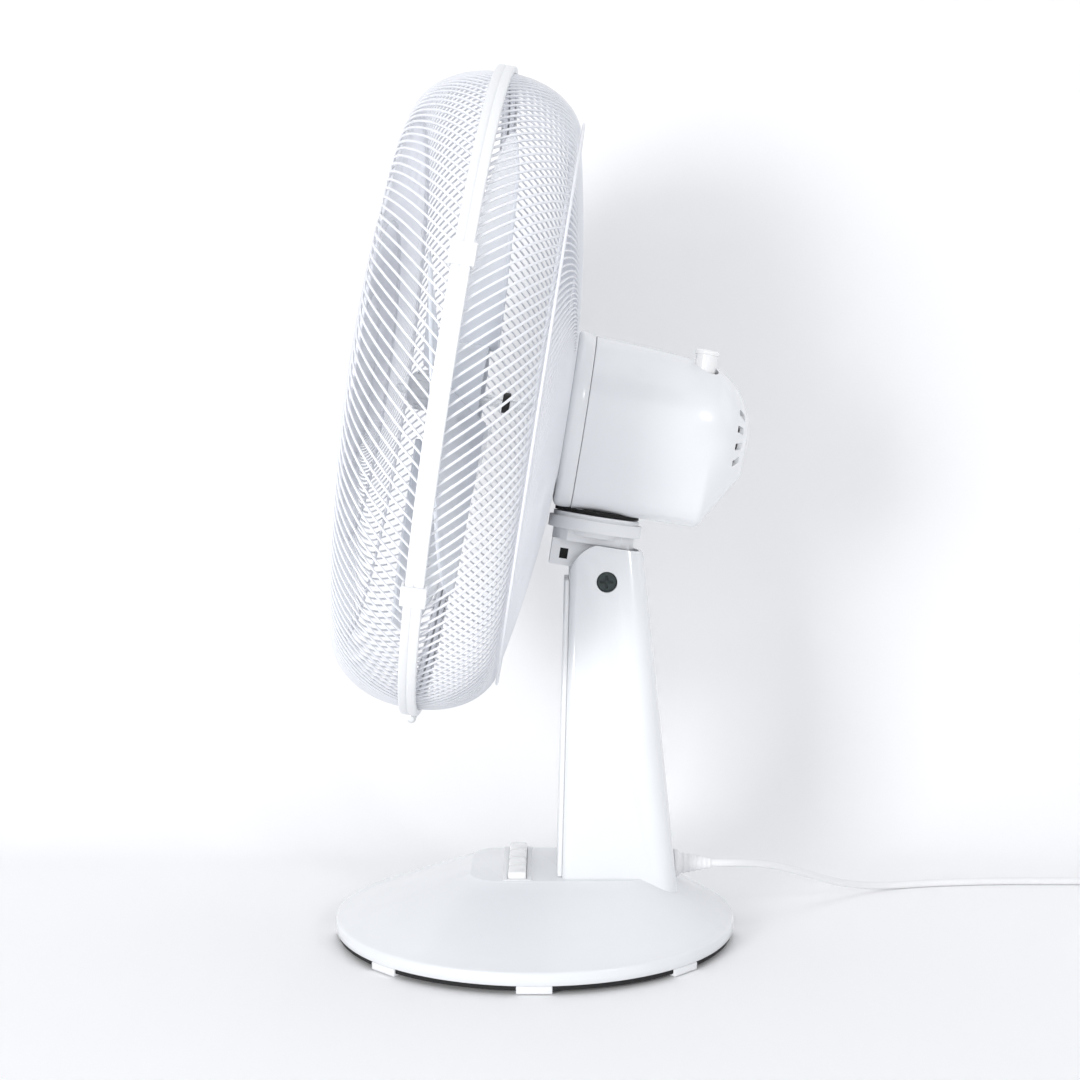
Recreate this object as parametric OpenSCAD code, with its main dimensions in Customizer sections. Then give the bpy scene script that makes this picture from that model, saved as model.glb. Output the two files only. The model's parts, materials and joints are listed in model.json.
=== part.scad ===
// Desk fan: round base with push keys, tapered column, tilting neck and an oscillating head
// with two spiral wire grilles, a three-blade fan and a geared motor.
// The fan blows towards -Y. Lengths are in millimetres.

/* [Base] */
// Outside radius of the round base
base_r = 135; // [115:1:165]
// Height of the lower edge of the base's rim above the table
rim_z = 5.7; // [4:0.1:9]
// Height of the straight rim wall
rim_h = 8.5; // [6:0.5:14]
// Height of the flat deck that carries the keys and the column
deck_z = 45.5; // [38:0.5:58]
// Half the width of the flat deck
deck_half_x = 45.5; // [44:0.5:60]
// Distance of the deck's front edge from the base's centre
deck_front = 44; // [36:1:60]
// Wall thickness of the moulded covers
wall = 2.5; // [1.8:0.1:3.5]
// Thickness of the base's bottom plate
plate_t = 2.5; // [2:0.1:4]
// Height of the gap between the table and the bottom plate
plate_z = 2.5; // [2:0.1:4]

/* [Keys] */
// Number of push keys
key_count = 4; // [3:1:5]
// Length of the whole row of keys
key_row = 82; // [70:1:84]
// Width of a key along the fan's axis
key_w = 12; // [10:0.5:16]
// Distance of the key row's centre in front of the base's centre
key_y = 11.6; // [10:0.2:16]
// Height of a key's crown above the deck
key_h = 5; // [3:0.5:8]
// Travel of a key
key_travel = 3; // [1:0.5:4]

/* [Column] */
// Height of the tilt pivot above the table
pivot_z = 240.6; // [200:0.2:290]
// Distance of the tilt pivot behind the base's centre
pivot_y = 47.7; // [40:0.1:56]
// Half the width of the column at its top
column_top_x = 25; // [24:0.5:32]
// Half the width of the column at the deck
column_foot_x = 40; // [34:0.5:43]
// Distance of the column's front edge from the base's centre at the deck
column_front_y = 15; // [8:0.5:18]
// Distance of the column's back edge from the base's centre at the deck
column_back_y = 94; // [86:0.5:98]
// Thickness of the panel on the column's front
panel_t = 3; // [2:0.5:4]

/* [Head] */
// Backward tilt of the head at rest, in degrees
head_tilt = 8.9; // [0:0.1:12]
// Distance from the grille's band to the oscillation axis, along the fan's axis
swivel_a = 102.4; // [98:0.1:106]
// Height of the fan's axis above the tilt pivot, square to the fan's axis
axis_over_pivot = 107; // [104:0.5:116]
// Distance of the tilt pivot behind the oscillation axis
pivot_behind = 12.6; // [8:0.1:16]

/* [Grille] */
// Outside radius of the band that joins the two grilles
ring_r = 216; // [190:1:235]
// Width of that band along the fan's axis
ring_w = 11; // [10:0.5:16]
// Depth of the front grille in front of the band's middle
front_depth = 67; // [60:1:80]
// Depth of the back grille behind the band's middle
back_depth = 70.6; // [66:0.2:74]
// Diameter of a spiral wire
wire_d = 1.6; // [1.2:0.1:2.4]
// Number of spiral wires in each grille
wire_count = 44; // [24:2:56]
// Angle between a wire and the grille's meridian, in degrees
wire_slant = 42; // [20:1:50]

/* [Fan] */
// Radius of the fan blade's tips
blade_r = 186; // [150:1:190]
// Number of blades
blade_count = 3; // [3:1:5]
// Thickness of a blade
blade_t = 2.2; // [1.6:0.1:3.5]
// Pitch of a blade at its root, in degrees
blade_pitch = 30; // [18:1:34]
// Radius of the fan's hub
hub_r = 36; // [30:1:42]

/* [Motor] */
// Radius of the motor's front cover
cover_r = 56; // [54:0.5:60]
// Radius of the housing where it meets the front cover
housing_r = 53.3; // [52:0.1:54]
// Radius of the stator
stator_r = 46; // [42:0.5:47]
// Radius of the rotor core
rotor_r = 25; // [22:0.5:28]
// Radius of the motor shaft
shaft_r = 4; // [3.4:0.1:4.4]
// Teeth on the worm wheel
wheel_teeth = 30; // [26:2:34]
// Sideways distance of the worm wheel's axis from the motor shaft
clutch_x = 17.9; // [17.5:0.1:19]
// Distance of the worm wheel's axis behind the band
clutch_a = 157.3; // [156:0.1:159]
// Travel of the oscillation knob
knob_travel = 2.8; // [1.5:0.1:2.8]

/* [Cord] */
// Diameter of the mains cord
cord_d = 5.5; // [4:0.1:7]
// Mean radius of the stored coil
coil_r = 28.5; // [27:0.5:36]

/* [Fits] */
// Gap between pieces that only stand beside each other
gap = 0.3; // [0.2:0.05:0.6]
// Radial clearance of a running fit
run = 0.06; // [0.02:0.01:0.1]
// Radius of the tilt bolt
bolt_r = 4; // [3:0.5:5]
// Radius of the small assembly screws
screw_r = 1.5; // [1.2:0.1:2]
// Clearance under the heads of the housing screws
seat = 0.03; // [0.02:0.01:0.08]

/* [Hidden] */
$fn = 64;
// Distance that centres the whole fan over its own origin
centre_y = -4;
// The band's middle in front of and above the tilt pivot, worked out along the tilted axis
ring_a = -(swivel_a + pivot_behind);
ring_y = pivot_y + ring_a * cos(head_tilt) + axis_over_pivot * sin(head_tilt);
ring_z = pivot_z - ring_a * sin(head_tilt) + axis_over_pivot * cos(head_tilt);
pivot_a = swivel_a + pivot_behind;
// Cone of the base
cone_r = base_r - 2;
cone_z = rim_z + rim_h;
cone_slope = (deck_z - cone_z) / (cone_r - deck_half_x);
deck_back = 78;
deck_corner = 22;
foot_ring_r = base_r - 30;
post_ring_r = base_r - 40;
tab_w = 22;
// Column ends
column_floor_z = 16;
column_top_z = pivot_z + 40;
column_top_front = pivot_y - 26.5;
column_top_back = pivot_y + 22.5;
crown_r = 25.2;
column_lean = (column_top_front - column_front_y) / (column_top_z - deck_z);
column_back_lean = (column_top_back - column_back_y) / (column_top_z - deck_z);
column_side_lean = (column_top_x - column_foot_x) / (column_top_z - deck_z);
screw_x = 18;
screw_y = 50;
column_screw_seat = plate_z + plate_t + 2;
// Neck, square to the fan's axis and measured down from it
plate_top = 68.3;
plate_low = 76.3;
neck_plate_r = 31.4;
collar_low = 84;
collar_r = 27.6;
knuckle_half = 16;
washer_t = 1.5;
boss_half = knuckle_half + washer_t + gap;
nose_a = swivel_a - 27.1;
spigot_r = 5;
bush_t = 1.5;
swivel_collar_r = 7.2;
bracket_low = 50;
swing = 42;
anchor_r = 9.5;
anchor_pin_r = 1.6;
crank_e = anchor_r * sin(swing);
link_top = 51;
link_low = 53.5;
link_half = 3;
link_slack = (crank_e - anchor_r * (1 - cos(swing))) / 2;
crank_top = 47.5;
crank_low = 50;
eye_r = anchor_pin_r + link_slack + 0.35;
// Motor stations along the fan's axis
cover_a = 71.6;
seam_a = 83.4;
core_a = 94;
core_len = 30;
bracket_a = 134;
bearing_r = 11;
bearing_w = 6;
shaft_front = -44;
shaft_end = 169;
housing_end = 195;
housing_low = 62;
belly_half = 30;
motor_bolt_r = 1.8;
motor_bolt_ring = stator_r - 4.5;
worm_r = 4.2;
worm_depth = 0.8;
worm_gap = 0.25;
wheel_r = clutch_x - worm_r - worm_gap;
worm_pitch = 2 * PI * (wheel_r + worm_gap / 2) / wheel_teeth;
worm_a = 150;
worm_len = 15;
wheel_half = 2.5;
knob_top = 54.2;
knob_cap = 3;
knob_stem_r = 7;
vent_turns = [for (side = [0, 180], step = [-1.5:1:1.5]) side + 22.5 * step];
worm_shaft_r = worm_r - worm_depth - 0.3;
// Cord route: the exit, the drop to the table and the run to the coil
cord_exit_y = column_back_y + 26;
cord_z = 46;
lead_x = -112;
coil_y = 472;
cord_route = [
  [0, cord_exit_y, cord_z], [0, 128, cord_z], [-4, 140, 45], [-14, 155, 42], [-28, 172, 36],
  [-44, 190, 28], [-60, 208, 19], [-76, 227, 11], [-90, 248, 5.5], [-100, 270, 3],
  [-106, 295, 2.75], [-110, 325, 2.75], [lead_x, 355, 2.75], [lead_x, 385, 2.75],
  [lead_x, 415, 2.75], [lead_x, 440, 2.75], [lead_x, coil_y - 10, 2.75]
];
coil_x = lead_x - coil_r - cord_d;
coil_rows = 2;
coil_turns_wide = 3;
coil_out = coil_r + coil_turns_wide * cord_d / 2;
coil_in = coil_r - coil_turns_wide * cord_d / 2;
coil_h = coil_rows * cord_d;
plug_y = coil_y + 34;
plug_x = lead_x;
plug_half_t = 6.85;
plug_len = 34;
tail_route = [for (y = [coil_y + 12, coil_y + 24, plug_y]) [plug_x, y, plug_half_t]];

// Puts what is drawn about the base's centre into the fan's own frame.
module placed() translate([0, centre_y, 0]) children();

// Head frame: y runs backwards along the fan's axis from the band's middle, z is up from the axis.
module head() placed() translate([0, ring_y, ring_z]) rotate([-head_tilt, 0, 0]) children();

// Turned shapes of the head: z runs backwards along the fan's axis, y points down.
module axial() head() rotate([-90, 0, 0]) children();

// A tube or a bar of radius r from z0 to z1, with an optional bore.
module ring(r, z0, z1, bore = 0)
  translate([0, 0, z0])
    difference() {
      cylinder(r = r, h = z1 - z0);
      if (bore > 0) translate([0, 0, -1]) cylinder(r = bore, h = z1 - z0 + 2);
    }

// A block between two corners.
module block(low, high) translate(low) cube(high - low);

// A rectangle with round corners, as a flat outline.
module rounded_rect(x0, x1, y0, y1, r) {
  translate([x0 + r, y0]) square([x1 - x0 - 2 * r, y1 - y0]);
  translate([x0, y0 + r]) square([x1 - x0, y1 - y0 - 2 * r]);
  for (x = [x0 + r, x1 - r], y = [y0 + r, y1 - r]) translate([x, y]) circle(r);
}

// Tube swept along a route of points: each section stands square to the route.
function unit(v) = v / norm(v);
function heading(p, i) = unit(p[min(i + 1, len(p) - 1)] - p[max(i - 1, 0)]);
function smooth(a, b, c, d, t) =
  0.5 * (2 * b + (c - a) * t + (2 * a - 5 * b + 4 * c - d) * t * t
    + (3 * b - a - 3 * c + d) * t * t * t);
function rounded_route(p, n) = [
  for (i = [0:len(p) - 2], k = [0:n - 1])
    smooth(p[max(i - 1, 0)], p[i], p[i + 1], p[min(i + 2, len(p) - 1)], k / n),
  p[len(p) - 1]
];
module swept(route, r, sides, side_hint = [0, 0, 1]) {
  rings = len(route);
  points = [
    for (i = [0:rings - 1])
      let (t = heading(route, i), u = unit(cross(side_hint, t)), v = cross(t, u))
        for (k = [0:sides - 1])
          route[i] + r * (cos(360 * k / sides) * u + sin(360 * k / sides) * v)
  ];
  walls = [
    for (i = [0:rings - 2], k = [0:sides - 1])
      let (j = (k + 1) % sides)
        each [
          [i * sides + k, (i + 1) * sides + k, (i + 1) * sides + j],
          [i * sides + k, (i + 1) * sides + j, i * sides + j]
        ]
  ];
  first_cap = [for (k = [0:sides - 1]) k];
  last_cap = [for (k = [sides - 1:-1:0]) (rings - 1) * sides + k];
  polyhedron(points, concat([first_cap, last_cap], walls));
}

// ---- Base ----

// The base's cover as one solid: it blends from the round rim to the flat deck.
module base_solid(inset) {
  drop = inset > 0 ? 1 : 0;
  hull() {
    translate([0, 0, rim_z - drop]) cylinder(r = base_r - inset, h = rim_h - 2 + drop, $fn = 120);
    translate([0, 0, rim_z]) cylinder(r = cone_r - inset, h = rim_h - inset / 2, $fn = 120);
    translate([0, 0, deck_z - inset - 0.01])
      linear_extrude(0.01)
        rounded_rect(
          -deck_half_x + inset / 2, deck_half_x - inset / 2,
          -deck_front + inset / 2, deck_back - inset / 2, deck_corner - inset / 2, $fn = 32
        );
  }
}

// Column body, tapered from its foot to its top; inset moves every side inwards.
module column_section(z, inset) {
  front = column_front_y + panel_t + column_lean * (z - deck_z) + inset;
  back = column_back_y + column_back_lean * (z - deck_z) - inset;
  side = column_foot_x + column_side_lean * (z - deck_z) - inset;
  translate([0, 0, z])
    linear_extrude(0.01) {
      for (s = [-1, 1]) {
        translate([s * (side - 5), front + 5]) circle(5, $fn = 32);
        translate([s * (side - 14), back - 14]) circle(14, $fn = 32);
      }
    }
}
module column_body(z0, z1, inset)
  hull() {
    column_section(z0, inset);
    column_section(z1, inset);
  }

module key_slot(clear, z0, z1)
  block(
    [-key_row / 2 - clear, -key_y - key_w / 2 - clear, z0],
    [key_row / 2 + clear, -key_y + key_w / 2 + clear, z1]
  );

module base_cover()
  color("whitesmoke") placed()
    difference() {
      union() {
        difference() {
          base_solid(0);
          base_solid(wall);
        }
        for (turn = [45:90:315])
          rotate(turn) translate([post_ring_r, 0, 0])
            ring(4.5, plate_z + plate_t, cone_z + (cone_r - post_ring_r - 4.5) * cone_slope - 1.2);
      }
      for (turn = [45:90:315])
        rotate(turn) translate([post_ring_r, 0, 0])
          cylinder(r = screw_r + run, h = plate_z + plate_t + 12);
      key_slot(wall + gap, deck_z - 8, deck_z + 8);
      column_body(column_floor_z, column_top_z, -gap);
    }

module base_plate()
  color("gainsboro") placed()
    difference() {
      union() {
        ring(base_r - 7, plate_z, plate_z + plate_t);
        for (turn = [0:45:315])
          rotate(turn)
            block([base_r - 16, -tab_w / 2, 0.8], [base_r - 0.8, tab_w / 2, rim_z]);
        for (s = [-1, 1])
          translate([s * screw_x, screw_y, 0]) ring(7, plate_z, column_floor_z);
      }
      for (turn = [45:90:315])
        rotate(turn) translate([post_ring_r, 0, 0]) cylinder(r = screw_r + 0.2, h = 20);
      for (s = [-1, 1])
        translate([s * screw_x, screw_y, -1]) {
          cylinder(r = screw_r + 0.5, h = 30);
          cylinder(r = 5, h = column_screw_seat + 1);
        }
    }

module base_feet()
  color("dimgray") placed()
    for (turn = [22.5:90:292.5])
      rotate(turn) translate([foot_ring_r, 0, 0]) ring(8, 0, plate_z);

module base_screws()
  color("silver") placed()
    for (turn = [45:90:315])
      rotate(turn)
        translate([post_ring_r, 0, 0]) {
          ring(3, plate_z - 1.4, plate_z);
          ring(screw_r, plate_z, plate_z + plate_t + 10);
        }

module key_bezel()
  color("whitesmoke") placed()
    difference() {
      union() {
        key_slot(wall, deck_z - 6, deck_z);
        key_slot(wall + 1, deck_z, deck_z + 0.7);
      }
      key_slot(gap, deck_z - 7, deck_z + 2);
    }

module switch_body()
  color("ivory") placed() {
    low = plate_z + plate_t;
    top = deck_z - 6;
    difference() {
      block([-key_row / 2 - 2, -key_y - 9, low], [key_row / 2 + 2, -key_y + 9, top]);
      key_slot(gap, top - key_travel - 2, top + 1);
    }
  }

// One push key: a crowned cap on a skirt that slides in the bezel.
module push_key(i) {
  pitch = key_row / key_count;
  x0 = -key_row / 2 + i * pitch + gap / 2;
  x1 = x0 + pitch - gap;
  y0 = -key_y - key_w / 2;
  bulge_r = 40;
  placed()
    intersection() {
      block([x0, y0, deck_z - 6 - 1], [x1, y0 + key_w, deck_z + key_h]);
      translate([x0 - 1, -key_y, deck_z + key_h - bulge_r])
        rotate([0, 90, 0]) cylinder(r = bulge_r, h = pitch + 2, $fn = 128);
    }
}
module key_off() color("white") push_key(0);
module key_low() color("white") push_key(1);
module key_medium() color("white") push_key(2);
module key_high() color("white") push_key(3);

module run_capacitor()
  color("silver") placed()
    translate([-62, 20, plate_z + plate_t]) cube([16, 38, 19]);

// ---- Column ----

module at_pivot() translate([0, pivot_y, pivot_z]) rotate([0, 90, 0]) children();

module column_shell()
  color("whitesmoke") placed()
    difference() {
      union() {
        difference() {
          column_body(column_floor_z, column_top_z, 0);
          column_body(column_floor_z + 4, column_top_z + 10, wall);
        }
        for (s = [-1, 1])
          translate([0, pivot_y, pivot_z]) rotate([0, s * 90, 0]) ring(10, boss_half, column_top_x);
      }
      // The top lies along the neck, square to the oscillation axis.
      translate([0, pivot_y, pivot_z]) rotate([-head_tilt, 0, 0])
        block([-60, -80, axis_over_pivot - collar_low - gap], [60, 80, 90]);
      // The front corner is rounded about the pivot, and open for the neck's nose.
      translate([0, pivot_y, pivot_z])
        difference() {
          block([-60, -80, 0], [60, 0, 60]);
          rotate([0, 90, 0]) translate([0, 0, -61]) cylinder(r = crown_r, h = 122);
        }
      block([-19.2, 0, pivot_z - 24], [19.2, pivot_y - 12, pivot_z + 60]);
      at_pivot() translate([0, 0, -60]) cylinder(r = bolt_r + 0.15, h = 120);
      at_pivot() translate([0, 0, column_top_x - 1.4]) cylinder(r = 6.9, h = 20);
      at_pivot() translate([0, 0, -column_top_x - 20]) cylinder(r = 8.2, h = 20 + 2.4);
      for (s = [-1, 1])
        translate([s * screw_x, screw_y, column_floor_z - 1]) cylinder(r = screw_r + run, h = 3.9);
      translate([0, column_back_y - 12, cord_z]) rotate([-90, 0, 0]) cylinder(r = 8.2, h = 24);
    }

module column_front() {
  panel_top = pivot_z + 1;
  lean = atan(column_lean);
  foot = column_foot_x - 4;
  top = foot + column_side_lean * (panel_top - deck_z);
  color("white") placed()
    difference() {
      translate([0, column_front_y + panel_t, deck_z + gap])
        rotate([90 - lean, 0, 0])
          linear_extrude(panel_t)
            polygon([[-foot, 0], [foot, 0], [top, panel_top - deck_z], [-top, panel_top - deck_z]]);
      block([-19.2, 0, pivot_z - 24], [19.2, 40, pivot_z + 60]);
      block([-60, 0, 0], [60, 60, deck_z + gap]);
    }
}

module column_screws()
  color("silver") placed()
    for (s = [-1, 1])
      translate([s * screw_x, screw_y, 0]) {
        ring(4, column_screw_seat - 2.6, column_screw_seat);
        ring(screw_r, column_screw_seat, column_floor_z + 2.6);
      }

module tilt_bolt()
  color("silver") placed() at_pivot()
    difference() {
      union() {
        ring(bolt_r, -column_top_x + 2.8, column_top_x - 1.4);
        ring(6.6, column_top_x - 1.4, column_top_x + 1.2);
      }
      for (turn = [0, 90])
        rotate(turn) block([-4, -0.6, column_top_x], [4, 0.6, column_top_x + 2]);
    }

module tilt_nut()
  color("silver") placed() at_pivot()
    difference() {
      translate([0, 0, -column_top_x - 3.4]) cylinder(r = 7.2, h = 5.8, $fn = 6);
      translate([0, 0, -column_top_x - 1]) cylinder(r = bolt_r + run, h = 10);
    }

// ---- Cord ----

module strain_relief()
  color("white") placed()
    translate([0, 0, cord_z]) rotate([-90, 0, 0]) {
      ring(8, column_back_y - 6, column_back_y + 1);
      ring(9.6, column_back_y + 1, column_back_y + 3.5);
      translate([0, 0, column_back_y + 3.5])
        cylinder(r1 = 8, r2 = cord_d / 2 + 1, h = cord_exit_y - column_back_y - 3.5);
    }

module cord_lead()
  color("white") placed() swept(rounded_route(cord_route, 2), cord_d / 2, 10);

module cord_coil()
  color("white") placed()
    translate([coil_x, coil_y, 0])
      rotate_extrude() translate([coil_in, 0]) square([coil_out - coil_in, coil_h]);

module cord_tie()
  color("dimgray") placed()
    translate([coil_x, coil_y, 0])
      difference() {
        block([coil_in - 1.5, -4, 0], [coil_out + 1.5, 4, coil_h + 1.5]);
        block([coil_in - 0.5, -5, -1], [coil_out + 0.1, 5, coil_h + 0.1]);
      }

module cord_tail() color("white") placed() swept(tail_route, cord_d / 2, 10);

module plug_body()
  color("white") placed()
    translate([plug_x, plug_y, plug_half_t]) rotate([-90, 0, 0]) {
      cylinder(r1 = cord_d / 2 + 0.8, r2 = 5.5, h = 12);
      translate([0, 0, 12])
        linear_extrude(plug_len - 12) rounded_rect(-13, 13, -plug_half_t, plug_half_t, 5);
    }

module plug_pins()
  color("gainsboro") placed()
    for (s = [-1, 1])
      translate([plug_x + s * 9.3, plug_y + plug_len, plug_half_t]) rotate([-90, 0, 0]) ring(2, 0, 19);

// ---- Neck ----

module at_swivel() head() translate([0, swivel_a, 0]) children();

module tilt_bracket()
  color("whitesmoke") head()
    difference() {
      union() {
        intersection() {
          translate([0, swivel_a, 0]) ring(collar_r, -collar_low, -plate_low);
          block([-21, 0, -100], [21, 200, 0]);
        }
        block([-knuckle_half, nose_a, -101], [knuckle_half, pivot_a + 12, -collar_low + 0.5]);
        translate([0, pivot_a, -axis_over_pivot]) rotate([0, 90, 0])
          ring(13, -knuckle_half, knuckle_half);
      }
      translate([0, pivot_a, -axis_over_pivot]) rotate([0, 90, 0])
        translate([0, 0, -40]) cylinder(r = bolt_r + run, h = 80);
      translate([0, swivel_a, -collar_low - 8]) cylinder(r = 11, h = 8.2);
      translate([0, swivel_a, -collar_low - 1]) cylinder(r = spigot_r + bush_t + run, h = 20);
      block([-40, nose_a + 6, -96.6], [40, nose_a + 11.5, -89.6]);
    }

module tilt_washers()
  color("silver") head()
    for (s = [-1, 1])
      translate([0, pivot_a, -axis_over_pivot]) rotate([0, s * 90, 0])
        ring(9.5, knuckle_half, knuckle_half + washer_t, bolt_r + 0.2);

module neck_plate()
  color("white") at_swivel()
    difference() {
      ring(neck_plate_r, -plate_low, -plate_top, spigot_r + bush_t + run);
      translate([-anchor_r, 0, -plate_low - 1]) cylinder(r = anchor_pin_r + run, h = 20);
    }

module neck_bush()
  color("ivory") at_swivel() {
    ring(spigot_r + bush_t, -collar_low + 0.4, -plate_top, spigot_r + run);
    ring(swivel_collar_r, -plate_top, -plate_top + 1.2, spigot_r + run);
  }

module link_anchor_pin()
  color("silver") at_swivel()
    translate([-anchor_r, 0, 0]) ring(anchor_pin_r, -plate_low, -link_top + 0.4);

// ---- Head frame and gearbox ----

module swivel_bracket()
  color("dimgray") at_swivel() {
    block([-stator_r * 0.6, -12, -bracket_low], [stator_r * 0.6, 12, -stator_r - gap]);
    ring(spigot_r, -collar_low - 2, -bracket_low);
    ring(swivel_collar_r, -plate_top + 1.5, -plate_top + 5);
  }

module spigot_screw()
  color("silver") at_swivel() ring(9.5, -collar_low - 5, -collar_low - 2);

// Outline of the front cover: a drum over the same flat belly as the housing's.
module cover_body(inset, a0, a1)
  hull() {
    axial_bar(cover_r - inset, a0, (a0 + a1) / 2);
    axial_bar(housing_r - inset, a0, a1);
    block(
      [-belly_half + inset, a0, -housing_low + inset],
      [belly_half - inset, a1, -housing_low + inset + 1]
    );
  }
module axial_bar(r, a0, a1) rotate([-90, 0, 0]) ring(r, a0, a1);

module motor_cover()
  color("whitesmoke") head()
    difference() {
      union() {
        cover_body(0, cover_a, seam_a);
        axial_bar(19, cover_a - 10, cover_a + 1);
      }
      cover_body(wall, cover_a + wall, seam_a + 4);
      axial_bar(bearing_r + 3, cover_a - 20, cover_a + 20);
    }

// Housing outline along the fan's axis, widened below into a flat belly.
module housing_body(inset, start) {
  end = housing_end - inset;
  hull() {
    rotate([-90, 0, 0])
      rotate_extrude($fn = 48)
        polygon([
          [0, start], [housing_r - inset, start], [49.1 - inset, 148.5],
          [44.6 - inset, 167], [34.4 - inset, end - 14], [21.5 - inset, end - 5.3],
          [8.3, end - 1.4], [0, end]
        ]);
    block(
      [-belly_half + inset, start, -housing_low + inset],
      [belly_half - inset, 168 - inset, -housing_low + inset + 1]
    );
    block([-16 + inset, 180, -31 + inset], [16 - inset, 189 - inset, -29 + inset]);
  }
}

module motor_housing()
  color("whitesmoke") head()
    difference() {
      housing_body(0, seam_a + gap);
      housing_body(wall, seam_a - 2);
      for (turn = vent_turns)
        rotate([0, turn, 0]) block([23.5, 176, -2.3], [31, 200, 2.3]);
      translate([0, swivel_a, -housing_low - 2]) cylinder(r = 17, h = 10);
      translate([clutch_x, clutch_a, 20]) cylinder(r = knob_stem_r + gap, h = 40);
    }

module housing_screws()
  color("silver") head()
    for (s = [-1, 1])
      translate([s * 20, 90, 0]) ring(3, -housing_low - 1.2, -housing_low - seat);

module motor_bolt_circle()
  for (turn = [45:90:315]) rotate(turn) translate([motor_bolt_ring, 0, 0]) children();

module bracket_disc(a0, a1)
  difference() {
    ring(stator_r + 1, a0, a1, bearing_r + run);
    for (turn = [0:60:300])
      rotate(turn) translate([26, 0, a0 - 1]) cylinder(r = 8, h = a1 - a0 + 2);
    motor_bolt_circle() translate([0, 0, a0 - 1]) cylinder(r = motor_bolt_r + run, h = a1 - a0 + 2);
  }

module front_bracket() color("silver") axial() bracket_disc(seam_a + 1, seam_a + 4);
module rear_bracket() color("silver") axial() bracket_disc(bracket_a, bracket_a + 3);

module stator_core()
  color("slategray") axial()
    difference() {
      ring(stator_r, core_a, core_a + core_len, rotor_r + 0.5);
      for (turn = [0:22.5:337.5])
        rotate(turn) translate([rotor_r + 6, 0, core_a - 1]) cylinder(r = 3.4, h = core_len + 2);
      motor_bolt_circle()
        translate([0, 0, core_a - 1]) cylinder(r = motor_bolt_r + run, h = core_len + 2);
    }

module motor_bolts()
  color("silver") axial()
    motor_bolt_circle() {
      ring(motor_bolt_r, seam_a + 1, bracket_a + 6);
      ring(motor_bolt_r + 1.4, bracket_a + 3, bracket_a + 5);
    }

module windings()
  color("orangered") axial() {
    ring(stator_r - 8, core_a - 6, core_a, rotor_r + 3);
    ring(stator_r - 8, core_a + core_len, core_a + core_len + 6, rotor_r + 3);
  }

module bearing(a0) ring(bearing_r, a0, a0 + bearing_w, shaft_r + run);
module front_bearing() color("goldenrod") axial() bearing(seam_a);
module rear_bearing() color("goldenrod") axial() bearing(bracket_a);

module gearbox_case()
  color("ivory") head()
    difference() {
      block([-9, 141, -9], [clutch_x + 17, 173, 9]);
      translate([clutch_x, clutch_a, -wheel_half - 1]) cylinder(r = 15.4, h = 2 * wheel_half + 2);
      rotate([-90, 0, 0]) translate([0, 0, 138]) cylinder(r = worm_r + worm_depth + 1, h = 32);
      translate([clutch_x, clutch_a, -30]) cylinder(r = 6.2, h = 60);
    }

// ---- Grilles ----

// Meridian of a grille: its depth at a radius. A shallow dome reaches out to face_r, where it
// has fallen to the shoulder's share of the depth, and an elliptic wall turns back to the rim.
wire_rim = ring_r - 5.2;
rim_d = 3.6;
lip_r = wire_rim + wire_d / 2 + 0.2;
groove_r = wire_rim - 0.4 + rim_d / 2 + gap;
face_r = ring_r - 41;
front_shoulder = 0.78;
back_shoulder = 0.72;
rim_a = 2;
function dome(r, depth, shoulder) =
  rim_a + (
    r < face_r
      ? depth * (1 - (1 - shoulder) * pow(r / face_r, 2))
      : depth * shoulder * sqrt(max(0, 1 - pow((r - face_r) / (wire_rim - face_r), 2)))
  );
hub_wire = 57;
wire_steps = 10;
// Radii lie closer together where the wall turns towards the rim.
function station(k) =
  let (t = k / wire_steps)
    t < 0.5
      ? hub_wire + (face_r - hub_wire) * t * 2
      : face_r + (wire_rim - face_r) * sin(90 * (t - 0.5) * 2);
// The angle that a wire has turned by at a station, from its slant to the meridian.
function turn_at(k, depth, shoulder) =
  k == 0 ? 0
  : let (r0 = station(k - 1), r1 = station(k))
      turn_at(k - 1, depth, shoulder)
        + tan(wire_slant)
          * norm([r1 - r0, dome(r1, depth, shoulder) - dome(r0, depth, shoulder)])
          / ((r0 + r1) / 2) * 180 / PI;
function wire_route(depth, shoulder, side) = [
  for (k = [0:wire_steps])
    let (r = station(k), phi = turn_at(k, depth, shoulder))
      [r * cos(phi), r * sin(phi), side * dome(r, depth, shoulder)]
];
module wire_ring(r, z, d)
  translate([0, 0, z]) rotate_extrude($fn = 56) translate([r, 0]) circle(d / 2, $fn = 6);

module wire_dome(depth, shoulder, side) {
  route = wire_route(depth, shoulder, side);
  hub_a = side * dome(hub_wire, depth, shoulder);
  for (i = [0:wire_count - 1])
    rotate(i * 360 / wire_count) swept(route, wire_d / 2, 4, [1, 2, 3]);
  wire_ring(wire_rim - 0.4, side * (rim_a + 0.1), rim_d);
  wire_ring(hub_wire, hub_a, 2.2);
  wire_ring(face_r, side * (dome(face_r, depth, shoulder) - 1.4), 2.4);
  // Welding lugs where the centre plate meets the hub ring.
  for (turn = [0:45:315])
    rotate(turn)
      hull()
        for (r = [hub_wire - 9, hub_wire])
          translate([r, 0, hub_a - 0.6]) cylinder(r = 2, h = 1.2, $fn = 8);
}

module rear_grille()
  color("white") axial() {
    wire_dome(back_depth, back_shoulder, 1);
    ring(hub_wire - 0.6, cover_a - 1.2, cover_a, 19 + gap);
  }

module grille_nut()
  color("white") axial()
    difference() {
      ring(27, cover_a - 9, cover_a - 1.2, 19 + run);
      for (turn = [0:30:330])
        rotate(turn) translate([28, 0, cover_a - 10]) cylinder(r = 2.2, h = 20);
    }

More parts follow.
